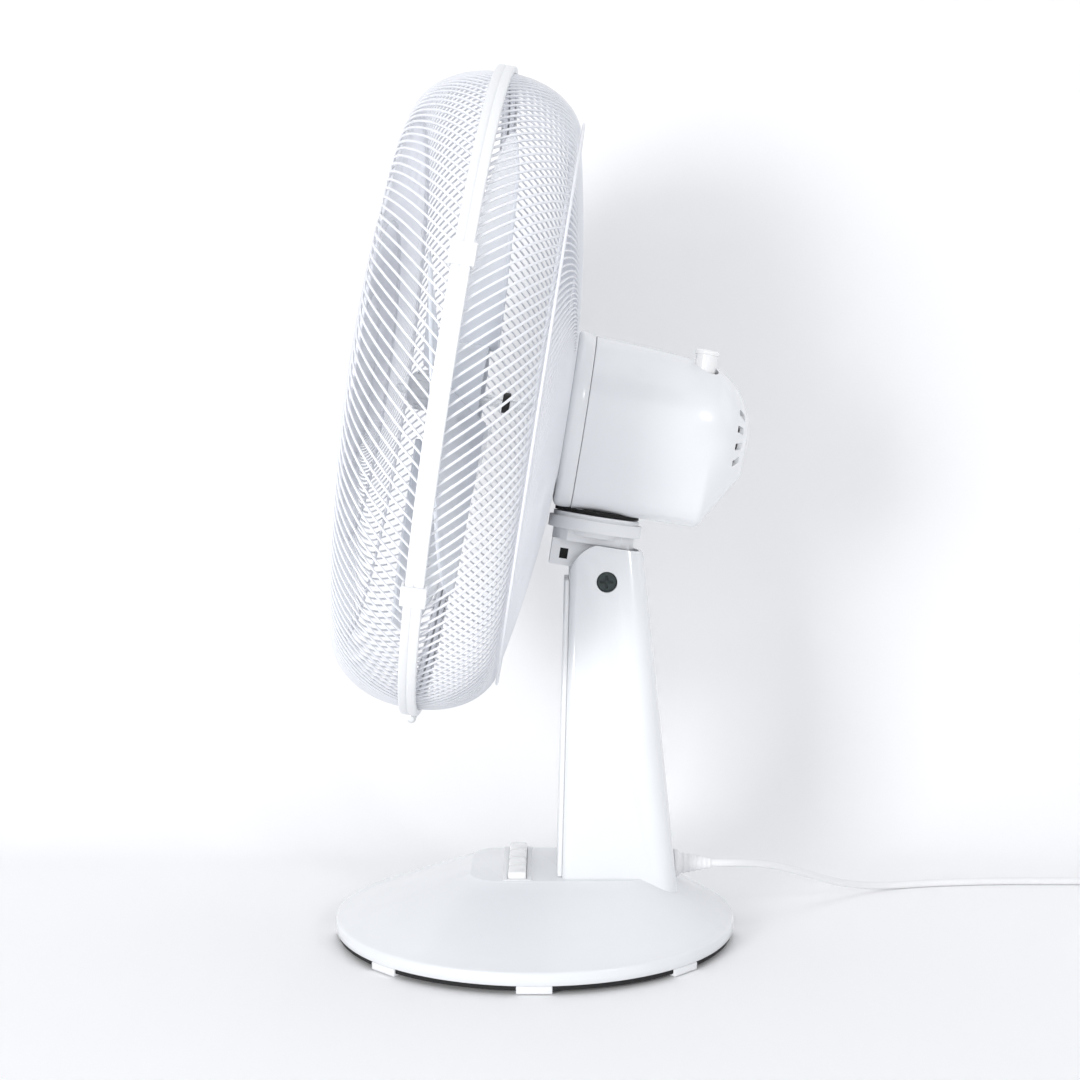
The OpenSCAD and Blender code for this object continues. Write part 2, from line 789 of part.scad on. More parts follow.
module front_grille()
  color("white") axial() {
    wire_dome(front_depth, front_shoulder, -1);
    ring(hub_wire - 0.6, -front_depth - 1.2, -front_depth);
  }

module front_badge()
  color("gainsboro") axial() ring(44, -front_depth - 3.4, -front_depth - 1.2);

module grille_ring()
  color("white") axial() {
    difference() {
      rotate_extrude($fn = 160)
        difference() {
          translate([lip_r, -ring_w / 2]) square([ring_r - lip_r, ring_w]);
          translate([lip_r - 1, -ring_w / 2 + 1.4]) square([groove_r - lip_r + 1, ring_w - 2.8]);
        }
      rotate(90) block([ring_r - 12, -1, -10], [ring_r + 4, 1, 10]);
    }
    // Screw lugs on the two ends of the split band, at the bottom.
    for (s = [-1, 1])
      difference() {
        block([s > 0 ? 1 : -4, ring_r - 2.2, -4], [s > 0 ? 4 : -1, ring_r + 9, 4]);
        translate([s * 2.5 - 5, ring_r + 4.5, 0]) rotate([0, 90, 0]) cylinder(r = 1.7, h = 10);
      }
    // Hanging hook at the top.
    block([-4, -ring_r - 5, -3], [4, -ring_r + 1.4, -0.5]);
  }

module ring_screw()
  color("silver") axial()
    translate([0, ring_r + 4.5, 0]) rotate([0, 90, 0]) {
      ring(screw_r, -7, 4);
      ring(3, 4, 6.2);
      translate([0, 0, -6.4]) cylinder(r = 3, h = 2.4, $fn = 6);
    }

module grille_clips()
  color("white") axial()
    for (turn = [-19, 34, 146, 199])
      rotate(turn)
        difference() {
          block([lip_r + gap, -7, -ring_w / 2 - 2], [ring_r + 2, 7, ring_w / 2 + 2]);
          block([ring_r - 10, -8, -ring_w / 2 - 0.1], [ring_r + 0.1, 8, ring_w / 2 + 0.1]);
        }

// ---- Rotor ----

module rotor_core() color("dimgray") axial() ring(rotor_r, core_a, core_a + core_len, shaft_r + run);

module motor_shaft()
  color("silver") axial() {
    ring(shaft_r, shaft_front, 141);
    ring(worm_shaft_r, 141, shaft_end);
  }

module motor_worm()
  color("goldenrod") axial()
    difference() {
      translate([0, 0, worm_a])
        rotate(360 * (clutch_a - worm_a) / worm_pitch)
          linear_extrude(worm_len, twist = 360 * worm_len / worm_pitch, slices = 48, $fn = 16)
            translate([worm_depth, 0]) circle(worm_r);
      translate([0, 0, worm_a - 1]) cylinder(r = worm_shaft_r + run, h = worm_len + 2);
    }

module drive_pin()
  color("silver") axial()
    translate([0, 0, 6]) for (s = [-1, 1]) rotate([0, s * 90, 0]) ring(1.5, shaft_r + run, 11);

// One blade: a pitched plate with a round outer end.
module blade() {
  intersection() {
    rotate([0, blade_pitch, 0])
      linear_extrude(blade_t, center = true) {
        translate([-26, 0]) square([60, 110]);
        translate([4, 105]) circle(72);
      }
    translate([0, 0, -40]) cylinder(r = blade_r, h = 80, $fn = 128);
    translate([-78, 0, -28]) cube([160, 200, 56]);
  }
}

module fan_blade()
  color("lightsteelblue") axial()
    difference() {
      union() {
        ring(hub_r, -20, 14);
        for (i = [0:blade_count - 1])
          rotate(i * 360 / blade_count) translate([0, 0, -3]) blade();
      }
      ring(hub_r - wall, -20 + wall, 15, 9);
      translate([0, 0, -40]) cylinder(r = shaft_r + run, h = 80);
      translate([0, 0, 6]) block([-12, -1.8, -1.8], [12, 1.8, 20]);
    }

module blade_nut()
  color("white") axial() ring(13, -36, -20, shaft_r + run);

// ---- Oscillation drive ----

module at_clutch() head() translate([clutch_x, clutch_a, 0]) children();

module worm_wheel()
  color("ivory") at_clutch()
    difference() {
      translate([0, 0, -wheel_half])
        linear_extrude(2 * wheel_half)
          polygon([
            for (k = [0:wheel_teeth * 8 - 1])
              let (turn = 360 * k / (wheel_teeth * 8))
                (wheel_r + worm_depth * -cos(wheel_teeth * turn))
                  * [-cos(turn), -sin(turn)]
          ]);
      translate([0, 0, -5]) cylinder(r = 3 + run, h = 10);
    }

module crank()
  color("silver") at_clutch() {
    ring(3, -crank_top, 8);
    ring(crank_e + 3, -crank_low, -crank_top);
    translate([-crank_e, 0, 0]) ring(anchor_pin_r, -link_low - 0.6, -crank_low);
  }

module link_leg(from, to)
  translate(from)
    rotate(atan2(to[1] - from[1], to[0] - from[0])) {
      translate([0, -link_half]) square([norm(to - from), 2 * link_half]);
      circle(link_half);
    }

module link_rod() {
  far = [clutch_x - crank_e + link_slack, clutch_a];
  near = [-anchor_r, swivel_a];
  // The first leg leans away from the spigot, so that it clears it over the whole swing.
  knee = near + 17 * [-sin(20), cos(20)];
  color("dimgray") head()
    translate([0, 0, -link_low])
      linear_extrude(link_low - link_top)
        difference() {
          union() {
            translate(near) circle(anchor_r - spigot_r - 0.6);
            translate(far) circle(eye_r + 1.8);
            link_leg(near, knee);
            link_leg(knee, far);
          }
          translate(near) circle(anchor_pin_r + run);
          translate(far) circle(eye_r);
        }
}

module oscillation_knob()
  color("white") at_clutch() {
    ring(4, 8.5 + knob_travel, 36);
    ring(knob_stem_r, 36, knob_top - knob_cap);
    difference() {
      ring(8.5, knob_top - knob_cap, knob_top);
      translate([0, 0, knob_top - 0.6]) cylinder(r = 5, h = 3);
    }
  }

base_cover();
base_plate();
base_feet();
base_screws();
key_bezel();
switch_body();
key_off();
key_low();
key_medium();
key_high();
run_capacitor();
column_shell();
column_front();
column_screws();
tilt_bolt();
tilt_nut();
strain_relief();
cord_lead();
cord_coil();
cord_tie();
cord_tail();
plug_body();
plug_pins();
tilt_bracket();
tilt_washers();
neck_plate();
neck_bush();
link_anchor_pin();
swivel_bracket();
spigot_screw();
motor_cover();
motor_housing();
housing_screws();
front_bracket();
rear_bracket();
motor_bolts();
stator_core();
windings();
front_bearing();
rear_bearing();
gearbox_case();
rear_grille();
grille_nut();
front_grille();
grille_ring();
ring_screw();
grille_clips();
front_badge();
rotor_core();
motor_shaft();
motor_worm();
drive_pin();
fan_blade();
blade_nut();
worm_wheel();
crank();
link_rod();
oscillation_knob();
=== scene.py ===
import json
from math import atan2, cos, hypot, pi, radians, sin, sqrt, tan

import bmesh
import bpy
from mathutils import Matrix, Vector


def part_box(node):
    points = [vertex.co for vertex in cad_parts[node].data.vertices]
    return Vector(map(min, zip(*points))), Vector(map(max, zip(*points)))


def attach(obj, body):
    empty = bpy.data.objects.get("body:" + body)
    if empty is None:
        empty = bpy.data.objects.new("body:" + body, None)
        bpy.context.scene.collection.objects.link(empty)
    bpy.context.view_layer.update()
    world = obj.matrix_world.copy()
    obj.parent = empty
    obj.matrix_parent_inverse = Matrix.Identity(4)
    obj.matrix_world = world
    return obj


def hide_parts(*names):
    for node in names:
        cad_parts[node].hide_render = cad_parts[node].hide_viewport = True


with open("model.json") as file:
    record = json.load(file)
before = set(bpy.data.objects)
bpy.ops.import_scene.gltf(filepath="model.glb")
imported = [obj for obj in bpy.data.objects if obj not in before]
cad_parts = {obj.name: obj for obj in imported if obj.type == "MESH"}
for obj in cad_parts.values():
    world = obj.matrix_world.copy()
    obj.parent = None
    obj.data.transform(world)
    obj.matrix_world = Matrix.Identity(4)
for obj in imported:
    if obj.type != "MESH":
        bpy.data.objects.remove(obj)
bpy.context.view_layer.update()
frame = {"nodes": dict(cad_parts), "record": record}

bl_info = {
    "name": "Desk Fan",
    "version": (1, 0, 0),
    "blender": (4, 5, 0),
    "location": "View3D > Sidebar > Desk Fan",
    "description": "Builds the looks of an oscillating desk fan around its packed frame",
    "category": "Object",
}

MM = 0.001
JOINTS = {joint["name"]: joint for joint in frame["record"]["behaviour"]["joints"]}


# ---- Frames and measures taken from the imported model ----

def head_frame():
    """Head frame: y runs back along the fan's axis from the band's middle, z is up from the axis."""
    back = Vector(JOINTS["rotor_spin"]["axis"])
    up = Vector(JOINTS["oscillation"]["axis"])
    place = Matrix((back.cross(up), back, up)).transposed().to_4x4()
    place.translation = Vector(JOINTS["rotor_spin"]["pos_m"])
    return place


HEAD = head_frame()
# Turned shapes of the head: z runs back along the fan's axis and y points down.
AXIAL = HEAD @ Matrix.Rotation(-pi / 2, 4, "X")


def span(node, place=Matrix()):
    """Lowest and highest corner of a CAD node in another frame, in metres."""
    back = place.inverted()
    points = [back @ vertex.co for vertex in frame["nodes"][node].data.vertices]
    low = Vector([min(p[i] for p in points) for i in range(3)])
    high = Vector([max(p[i] for p in points) for i in range(3)])
    return low, high


def middle(node, place=Matrix()):
    low, high = span(node, place)
    return (low + high) / 2


BAND = span("grille_ring", AXIAL)
COVER = span("motor_cover", AXIAL)
HOUSING = span("motor_housing", HEAD)
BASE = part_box("base_cover")
BASE_MIDDLE = (Vector(BASE[0]) + Vector(BASE[1])) / 2
BASE_R = (BASE[1][0] - BASE[0][0]) / 2
RIM_Z = 5.7 * MM
TABS = 8


# ---- Settings ----

class FanSizes(bpy.types.PropertyGroup):
    wire_count: bpy.props.IntProperty(
        name="Wires", description="Spiral wires in each grille", default=168, min=40, max=220)
    wire_d: bpy.props.FloatProperty(
        name="Wire", description="Diameter of a coated spiral wire", default=1.55 * MM,
        unit="LENGTH")
    wire_slant: bpy.props.FloatProperty(
        name="Slant", description="Angle between a wire and the grille's meridian",
        default=radians(42), subtype="ANGLE")
    shell: bpy.props.FloatProperty(
        name="Wall", description="Wall of the moulded covers", default=2.5 * MM, unit="LENGTH")
    blades: bpy.props.IntProperty(name="Blades", description="Number of blades", default=3)
    vents: bpy.props.IntProperty(
        name="Vents", description="Slots at the two sides of the motor's back", default=8)
    cord_length: bpy.props.FloatProperty(
        name="Cord", description="Length of the mains cord", default=1.5, unit="LENGTH")
    cord_d: bpy.props.FloatProperty(
        name="Cord thickness", description="Diameter of the mains cord", default=5.5 * MM,
        unit="LENGTH")


def colour_setting(name, description, value):
    return bpy.props.FloatVectorProperty(
        name=name, description=description, subtype="COLOR", size=3, default=value, min=0, max=1)


class FanColours(bpy.types.PropertyGroup):
    shell: colour_setting("Shell", "Glossy covers of base, column and motor", (0.83, 0.845, 0.865))
    satin: colour_setting("Satin", "Satin mouldings", (0.85, 0.86, 0.875))
    key: colour_setting("Keys", "Push keys", (0.90, 0.90, 0.90))
    wire: colour_setting("Wires", "Coating of the grille wires", (0.84, 0.85, 0.89))
    blade: colour_setting("Blades", "Fan blades", (0.84, 0.87, 0.92))
    cord: colour_setting("Cord", "Mains cord and plug", (0.86, 0.86, 0.87))
    floor: colour_setting("Floor", "Floor and backdrop", (0.96, 0.96, 0.965))


def sizes():
    return bpy.context.scene.fan_sizes


def colours():
    return bpy.context.scene.fan_colours


# ---- Shader node groups ----

def new_group(name, inputs, outputs):
    """A shader node group with named sockets; returns the group and its two end nodes."""
    group = bpy.data.node_groups.new(name, "ShaderNodeTree")
    for label, kind, value in inputs:
        socket = group.interface.new_socket(label, in_out="INPUT", socket_type=kind)
        if value is not None:
            socket.default_value = value
    for label, kind in outputs:
        group.interface.new_socket(label, in_out="OUTPUT", socket_type=kind)
    return group, group.nodes.new("NodeGroupInput"), group.nodes.new("NodeGroupOutput")


def math_node(tree, operation, first, second=None):
    node = tree.nodes.new("ShaderNodeMath")
    node.operation = operation
    for socket, value in zip(node.inputs, (first, second)):
        if value is None:
            continue
        if isinstance(value, (int, float)):
            socket.default_value = value
        else:
            tree.links.new(value, socket)
    return node.outputs[0]


def noise(tree, vector, scale, detail=2.0, roughness=0.5):
    node = tree.nodes.new("ShaderNodeTexNoise")
    tree.links.new(vector, node.inputs["Vector"])
    if isinstance(scale, (int, float)):
        node.inputs["Scale"].default_value = scale
    else:
        tree.links.new(scale, node.inputs["Scale"])
    node.inputs["Detail"].default_value = detail
    node.inputs["Roughness"].default_value = roughness
    return node.outputs["Fac"]


def moulding_group():
    """Fine grain of a moulded surface and the slow waviness left by the mould."""
    inputs = [("Vector", "NodeSocketVector", None), ("Grain", "NodeSocketFloat", 900.0),
              ("Wave", "NodeSocketFloat", 9.0)]
    group, start, end = new_group(
        "moulding_grain", inputs,
        [("Height", "NodeSocketFloat"), ("Gloss change", "NodeSocketFloat")])
    grain = noise(group, start.outputs["Vector"], start.outputs["Grain"], 3.0, 0.6)
    wave = noise(group, start.outputs["Vector"], start.outputs["Wave"], 2.0, 0.45)
    height = math_node(group, "ADD", math_node(group, "MULTIPLY", grain, 0.25),
                       math_node(group, "MULTIPLY", wave, 1.0))
    group.links.new(height, end.inputs["Height"])
    patch = noise(group, start.outputs["Vector"], 38.0, 4.0, 0.62)
    group.links.new(math_node(group, "SUBTRACT", patch, 0.5), end.inputs["Gloss change"])
    return group


def dust_group():
    """A thin film of dust on faces that look up, in soft patches."""
    inputs = [("Vector", "NodeSocketVector", None), ("Amount", "NodeSocketFloat", 0.2)]
    group, start, end = new_group("settled_dust", inputs, [("Mask", "NodeSocketFloat")])
    geometry = group.nodes.new("ShaderNodeNewGeometry")
    split = group.nodes.new("ShaderNodeSeparateXYZ")
    group.links.new(geometry.outputs["Normal"], split.inputs[0])
    upward = math_node(group, "MAXIMUM", split.outputs["Z"], 0.0)
    patches = noise(group, start.outputs["Vector"], 26.0, 3.0, 0.5)
    mask = math_node(group, "MULTIPLY", math_node(group, "POWER", upward, 3.0), patches)
    group.links.new(math_node(group, "MULTIPLY", mask, start.outputs["Amount"]), end.inputs["Mask"])
    return group


def wear_and_shade_group():
    """Where edges stand out and corners lie deep, from the surface's own curvature: edges for wear, deep
    corners for painted shade.
    """
    inputs = [("Vector", "NodeSocketVector", None), ("Sharpness", "NodeSocketFloat", 6.0)]
    group, start, end = new_group(
        "edge_wear_and_hollow_shade", inputs, [("Edges", "NodeSocketFloat"), ("Hollow shade", "NodeSocketFloat")])
    geometry = group.nodes.new("ShaderNodeNewGeometry")
    bend = math_node(group, "SUBTRACT", geometry.outputs["Pointiness"], 0.5)
    sharp = math_node(group, "MULTIPLY", bend, start.outputs["Sharpness"])
    breakup = noise(group, start.outputs["Vector"], 160.0, 3.0, 0.6)
    edges = math_node(group, "MULTIPLY", math_node(group, "MAXIMUM", sharp, 0.0), breakup)
    # Painted shade: deep corners and creases get a mask that darkens the colour.
    hollow_shade = math_node(group, "MAXIMUM", math_node(group, "MULTIPLY", sharp, -1.0), 0.0)
    group.links.new(math_node(group, "MINIMUM", edges, 1.0), end.inputs["Edges"])
    group.links.new(math_node(group, "MINIMUM", hollow_shade, 1.0), end.inputs["Hollow shade"])
    return group


GROUPS = {}


def group_node(tree, name, vector, **values):
    makers = {"moulding": moulding_group, "dust": dust_group, "wear_and_shade": wear_and_shade_group}
    if name not in GROUPS:
        GROUPS[name] = makers[name]()
    node = tree.nodes.new("ShaderNodeGroup")
    node.node_tree = GROUPS[name]
    tree.links.new(vector, node.inputs["Vector"])
    for label, value in values.items():
        node.inputs[label].default_value = value
    return node


def shade(colour, share):
    return tuple(min(1.0, c * share) for c in colour[:3]) + (1.0,)


def mix_colour(tree, mask, first, second):
    node = tree.nodes.new("ShaderNodeMix")
    node.data_type = "RGBA"
    tree.links.new(mask, node.inputs["Factor"])
    for socket, value in ((node.inputs[6], first), (node.inputs[7], second)):
        if isinstance(value, tuple):
            socket.default_value = value
        else:
            tree.links.new(value, socket)
    return node.outputs[2]


# ---- Materials ----

MATERIALS = {}


def start_material(name):
    material = bpy.data.materials.new(name)
    material.use_nodes = True
    tree = material.node_tree
    shader = tree.nodes["Principled BSDF"]
    where = tree.nodes.new("ShaderNodeTexCoord").outputs["Object"]
    return material, tree, shader, where


def bump(tree, shader, height, strength, distance):
    node = tree.nodes.new("ShaderNodeBump")
    node.inputs["Strength"].default_value = strength
    node.inputs["Distance"].default_value = distance
    tree.links.new(height, node.inputs["Height"])
    tree.links.new(node.outputs["Normal"], shader.inputs["Normal"])


def moulded_plastic(name, colour, gloss=0.3, coat=0.0, grain=900.0, relief=0.12, dust=0.05,
                    spread=0.02):
    """Injection-moulded plastic with a slight patchiness, a fine grain, settled dust and painted shade in
    its hollows.
    """
    if name in MATERIALS:
        return MATERIALS[name]
    material, tree, shader, where = start_material(name)
    moulding = group_node(tree, "moulding", where, Grain=grain)
    film = group_node(tree, "dust", where, Amount=dust)
    wear_and_shade = group_node(tree, "wear_and_shade", where)
    body = mix_colour(tree, math_node(tree, "ADD", moulding.outputs["Gloss change"], 0.5),
                      shade(colour, 1 - spread), shade(colour, 1 + spread * 0.5))
    # Painted shade: hollows and creases are darkened towards 0.72 of the colour.
    body = mix_colour(tree, math_node(tree, "MULTIPLY", wear_and_shade.outputs["Hollow shade"], 0.5), body,
                      shade(colour, 0.72))
    body = mix_colour(tree, film.outputs["Mask"], body, shade((0.72, 0.70, 0.66), 1))
    tree.links.new(body, shader.inputs["Base Color"])
    rough = math_node(
        tree, "ADD", math_node(tree, "MULTIPLY", moulding.outputs["Gloss change"], 0.1), gloss)
    rough = math_node(tree, "ADD", rough, math_node(tree, "MULTIPLY", film.outputs["Mask"], 0.3))
    tree.links.new(rough, shader.inputs["Roughness"])
    shader.inputs["IOR"].default_value = 1.5
    shader.inputs["Coat Weight"].default_value = coat
    shader.inputs["Coat Roughness"].default_value = 0.08
    bump(tree, shader, moulding.outputs["Height"], relief, 0.25 * MM)
    MATERIALS[name] = material
    return material


def metal(name, colour, gloss=0.3, scratches=240.0, stain=0.25):
    """Plated or ground steel with fine scratches, worn edges and cloudy stains."""
    if name in MATERIALS:
        return MATERIALS[name]
    material, tree, shader, where = start_material(name)
    lines = noise(tree, where, scratches, 4.0, 0.7)
    cloud = noise(tree, where, 60.0, 4.0, 0.6)
    wear_and_shade = group_node(tree, "wear_and_shade", where)
    body = mix_colour(tree, math_node(tree, "MULTIPLY", cloud, stain), shade(colour, 1),
                      shade(colour, 0.62))
    body = mix_colour(tree, wear_and_shade.outputs["Edges"], body, shade(colour, 1.25))
    tree.links.new(body, shader.inputs["Base Color"])
    rough = math_node(tree, "ADD", math_node(tree, "MULTIPLY", lines, 0.25), gloss)
    tree.links.new(rough, shader.inputs["Roughness"])
    shader.inputs["Metallic"].default_value = 1.0
    bump(tree, shader, lines, 0.15, 0.05 * MM)
    MATERIALS[name] = material
    return material


def dull(name, colour, gloss=0.6):
    """Rubber, laminations and other dull stock with a visible grain."""
    if name in MATERIALS:
        return MATERIALS[name]
    material, tree, shader, where = start_material(name)
    speckle = noise(tree, where, 700.0, 4.0, 0.7)
    film = group_node(tree, "dust", where, Amount=0.3)
    body = mix_colour(tree, speckle, shade(colour, 0.75), shade(colour, 1.25))
    body = mix_colour(tree, film.outputs["Mask"], body, (0.5, 0.48, 0.45, 1.0))
    tree.links.new(body, shader.inputs["Base Color"])
    tree.links.new(math_node(tree, "ADD", math_node(tree, "MULTIPLY", speckle, 0.2), gloss - 0.1),
                   shader.inputs["Roughness"])
    bump(tree, shader, speckle, 0.3, 0.1 * MM)
    MATERIALS[name] = material
    return material


def banded(name, colour, pitch, axis_index, depth, metallic, gloss):
    """Stacked laminations or wound wire: fine bands across one axis."""
    if name in MATERIALS:
        return MATERIALS[name]
    material, tree, shader, where = start_material(name)
    split = tree.nodes.new("ShaderNodeSeparateXYZ")
    tree.links.new(where, split.inputs[0])
    phase = math_node(tree, "MULTIPLY", split.outputs[axis_index], 2 * pi / pitch)
    wave = math_node(tree, "MULTIPLY", math_node(tree, "SINE", phase), 0.5)
    bands = math_node(tree, "ADD", wave, 0.5)
    body = mix_colour(tree, bands, shade(colour, 0.6), shade(colour, 1.1))
    tree.links.new(body, shader.inputs["Base Color"])
    tree.links.new(math_node(tree, "ADD", math_node(tree, "MULTIPLY", bands, -0.1), gloss),
                   shader.inputs["Roughness"])
    shader.inputs["Metallic"].default_value = metallic
    bump(tree, shader, bands, 0.5, depth)
    MATERIALS[name] = material
    return material


def glossy_white():
    return moulded_plastic("glossy_white_shell", colours().shell, gloss=0.24, coat=0.35,
                           relief=0.05)


def satin_white():
    return moulded_plastic("satin_finish", colours().satin, gloss=0.42, relief=0.16)


def wire_coating():
    return moulded_plastic("wire_coating", colours().wire, gloss=0.34, coat=0.15, grain=1500.0,
                           relief=0.1, dust=0.1)


def key_plastic():
    return moulded_plastic("key_plastic", colours().key, gloss=0.2, coat=0.4, relief=0.04)


def blade_plastic():
    return moulded_plastic("blade_gloss", colours().blade, gloss=0.22, coat=0.3, dust=0.15)


def cord_sheath():
    return moulded_plastic("cord_sheath", colours().cord, gloss=0.38, grain=1200.0, relief=0.1)


def zinc():
    return metal("zinc_plate", (0.66, 0.67, 0.68), 0.28)


# Near-black dull stock, used as painted shade behind the motor's vents.
def vent_shade_black():
    return dull("vent_shade_black", (0.02, 0.02, 0.022), 0.5)


# ---- Mesh tools ----

def write_piece(name, shape, material, body, stands_for=(), place=Matrix(),
                sharp=35.0):
    """Writes a bmesh, drawn in place's frame in metres, as a finished piece on a body."""
    bmesh.ops.transform(shape, matrix=place, verts=shape.verts)
    if place.determinant() < 0:
        bmesh.ops.reverse_faces(shape, faces=shape.faces)
    mesh = bpy.data.meshes.new(name)
    shape.to_mesh(mesh)
    shape.free()
    mesh.shade_smooth()
    mesh.set_sharp_from_angle(angle=radians(sharp))
    piece = bpy.data.objects.new(name, mesh)
    bpy.context.scene.collection.objects.link(piece)
    mesh.materials.append(material)
    if stands_for:
        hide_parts(*stands_for)
    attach(piece, body)
    return piece


def bake_modifiers(piece):
    """Applies a piece's modifiers to its mesh."""
    graph = bpy.context.evaluated_depsgraph_get()
    final = bpy.data.meshes.new_from_object(piece.evaluated_get(graph))
    piece.modifiers.clear()
    old = piece.data
    piece.data = final
    bpy.data.meshes.remove(old)


def cut(piece, shape, place=Matrix()):
    """Cuts a closed bmesh out of a piece."""
    bmesh.ops.transform(shape, matrix=place, verts=shape.verts)
    bmesh.ops.recalc_face_normals(shape, faces=shape.faces)
    mesh = bpy.data.meshes.new("cutter")
    shape.to_mesh(mesh)
    shape.free()
    tool = bpy.data.objects.new("cutter", mesh)
    bpy.context.scene.collection.objects.link(tool)
    boolean = piece.modifiers.new("cut", "BOOLEAN")
    boolean.operation = "DIFFERENCE"
    boolean.solver = "EXACT"
    boolean.object = tool
    bake_modifiers(piece)
    bpy.data.objects.remove(tool)
    bpy.data.meshes.remove(mesh)


def ease_edges(piece, width, segments=3, angle=32.0):
    bevel = piece.modifiers.new("edges", "BEVEL")
    bevel.width = width
    bevel.segments = segments
    bevel.limit_method = "ANGLE"
    bevel.angle_limit = radians(angle)
    bevel.harden_normals = False
    bake_modifiers(piece)
    piece.data.shade_smooth()
    piece.data.set_sharp_from_angle(angle=radians(50))


def merged_copy(node):
    """A bmesh of a CAD node with its loose triangles merged and its flats dissolved."""
    shape = bmesh.new()
    shape.from_mesh(frame["nodes"][node].data)
    bmesh.ops.remove_doubles(shape, verts=shape.verts, dist=0.002 * MM)
    bmesh.ops.dissolve_limit(
        shape, angle_limit=radians(0.5), verts=shape.verts, edges=shape.edges,
        use_dissolve_boundaries=False, delimit=set())
    return shape


def eased_copy(name, node, material, body, width):
    """A CAD node's own shape with its moulded edges rounded."""
    piece = write_piece(name, merged_copy(node), material, body, (node,))
    ease_edges(piece, width)
    return piece


def rounded(points, radius, steps=4):
    """A closed profile whose corners are rounded; radius is one number or one for each corner.
    Corners on the axis stay as they are."""
    out = []
    count = len(points)
    for i, corner in enumerate(points):
        size = radius[i] if isinstance(radius, (list, tuple)) else radius
        if size <= 0 or corner[0] == 0:
            out.append(corner)
            continue
        here = Vector(corner)
        before = Vector(points[i - 1]) - here
        after = Vector(points[(i + 1) % count]) - here
        reach = min(size, before.length * 0.45, after.length * 0.45)
        first = here + before.normalized() * reach
        last = here + after.normalized() * reach
        for k in range(steps + 1):
            t = k / steps
            point = first * (1 - t) ** 2 + here * 2 * t * (1 - t) + last * t ** 2
            out.append((point.x, point.y))
    return out


def turned(profile, steps=96):
    """A closed bmesh spun about z from a profile of (radius, z) points."""
    shape = bmesh.new()
    verts = [shape.verts.new((r, 0, z)) for r, z in profile]
    edges = [shape.edges.new(pair) for pair in zip(verts, verts[1:])]
    if profile[0][0] > 0 or profile[-1][0] > 0:
        edges.append(shape.edges.new((verts[-1], verts[0])))
    bmesh.ops.spin(shape, geom=verts + edges, cent=(0, 0, 0), axis=(0, 0, 1), dvec=(0, 0, 0),
                   angle=2 * pi, steps=steps, use_merge=True)
    bmesh.ops.remove_doubles(shape, verts=shape.verts, dist=0.001 * MM)
    bmesh.ops.recalc_face_normals(shape, faces=shape.faces)
    return shape


def add_bar(shape, radius, z0, z1, place=Matrix(), segments=32):
    """Adds a closed round bar along z to a bmesh."""
    centre = Matrix.Translation((0, 0, (z0 + z1) / 2))
    return bmesh.ops.create_cone(
        shape, cap_ends=True, segments=segments, radius1=radius, radius2=radius,
        depth=abs(z1 - z0), matrix=place @ centre)["verts"]


def add_block(shape, low, high, place=Matrix(), bevel=0.0, segments=3):
    """Adds a block between two corners, with its edges rounded."""
    low, high = Vector(low), Vector(high)
    grown = Matrix.Translation((low + high) / 2) @ Matrix.Diagonal((high - low).to_4d())
    grown[3][3] = 1
    verts = bmesh.ops.create_cube(shape, size=1, matrix=grown)["verts"]
    if bevel > 0:
        edges = list({edge for vertex in verts for edge in vertex.link_edges})
        made = bmesh.ops.bevel(shape, geom=edges, offset=bevel, affect="EDGES",
                               segments=segments, profile=0.5, material=-1)
        verts = list({v for face in made["faces"] for v in face.verts} | {
            v for v in verts if v.is_valid})
    bmesh.ops.transform(shape, matrix=place, verts=verts)
    return verts


def tube_mesh(name, routes, radius, sides_level=1, cyclic=False):
    """A mesh of round tubes along several routes of points."""
    curve = bpy.data.curves.new(name, "CURVE")
    curve.dimensions = "3D"
    curve.bevel_depth = radius
    curve.bevel_resolution = sides_level
    curve.use_fill_caps = not cyclic
    for route in routes:
        spline = curve.splines.new("POLY")
        spline.points.add(len(route) - 1)
        for point, place in zip(spline.points, route):
            point.co = (*place, 1.0)
        spline.use_cyclic_u = cyclic
    holder = bpy.data.objects.new(name, curve)
    bpy.context.scene.collection.objects.link(holder)
    graph = bpy.context.evaluated_depsgraph_get()
    mesh = bpy.data.meshes.new_from_object(holder.evaluated_get(graph))
    bpy.data.objects.remove(holder)
    bpy.data.curves.remove(curve)
    shape = bmesh.new()
    shape.from_mesh(mesh)
    bpy.data.meshes.remove(mesh)
    bmesh.ops.remove_doubles(shape, verts=shape.verts, dist=0.0005 * MM)
    bmesh.ops.recalc_face_normals(shape, faces=shape.faces)
    return shape


def join_shapes(*shapes):
    """Several bmeshes as one."""
    whole = bmesh.new()
    for shape in shapes:
        mesh = bpy.data.meshes.new("part")
        shape.to_mesh(mesh)
        shape.free()
        whole.from_mesh(mesh)
        bpy.data.meshes.remove(mesh)
    return whole


def hoop(radius, z, thickness, sides_level=1, steps=160):
    route = [(radius * cos(2 * pi * i / steps), radius * sin(2 * pi * i / steps), z)
             for i in range(steps)]
    return tube_mesh("hoop", [route], thickness / 2, sides_level, cyclic=True)


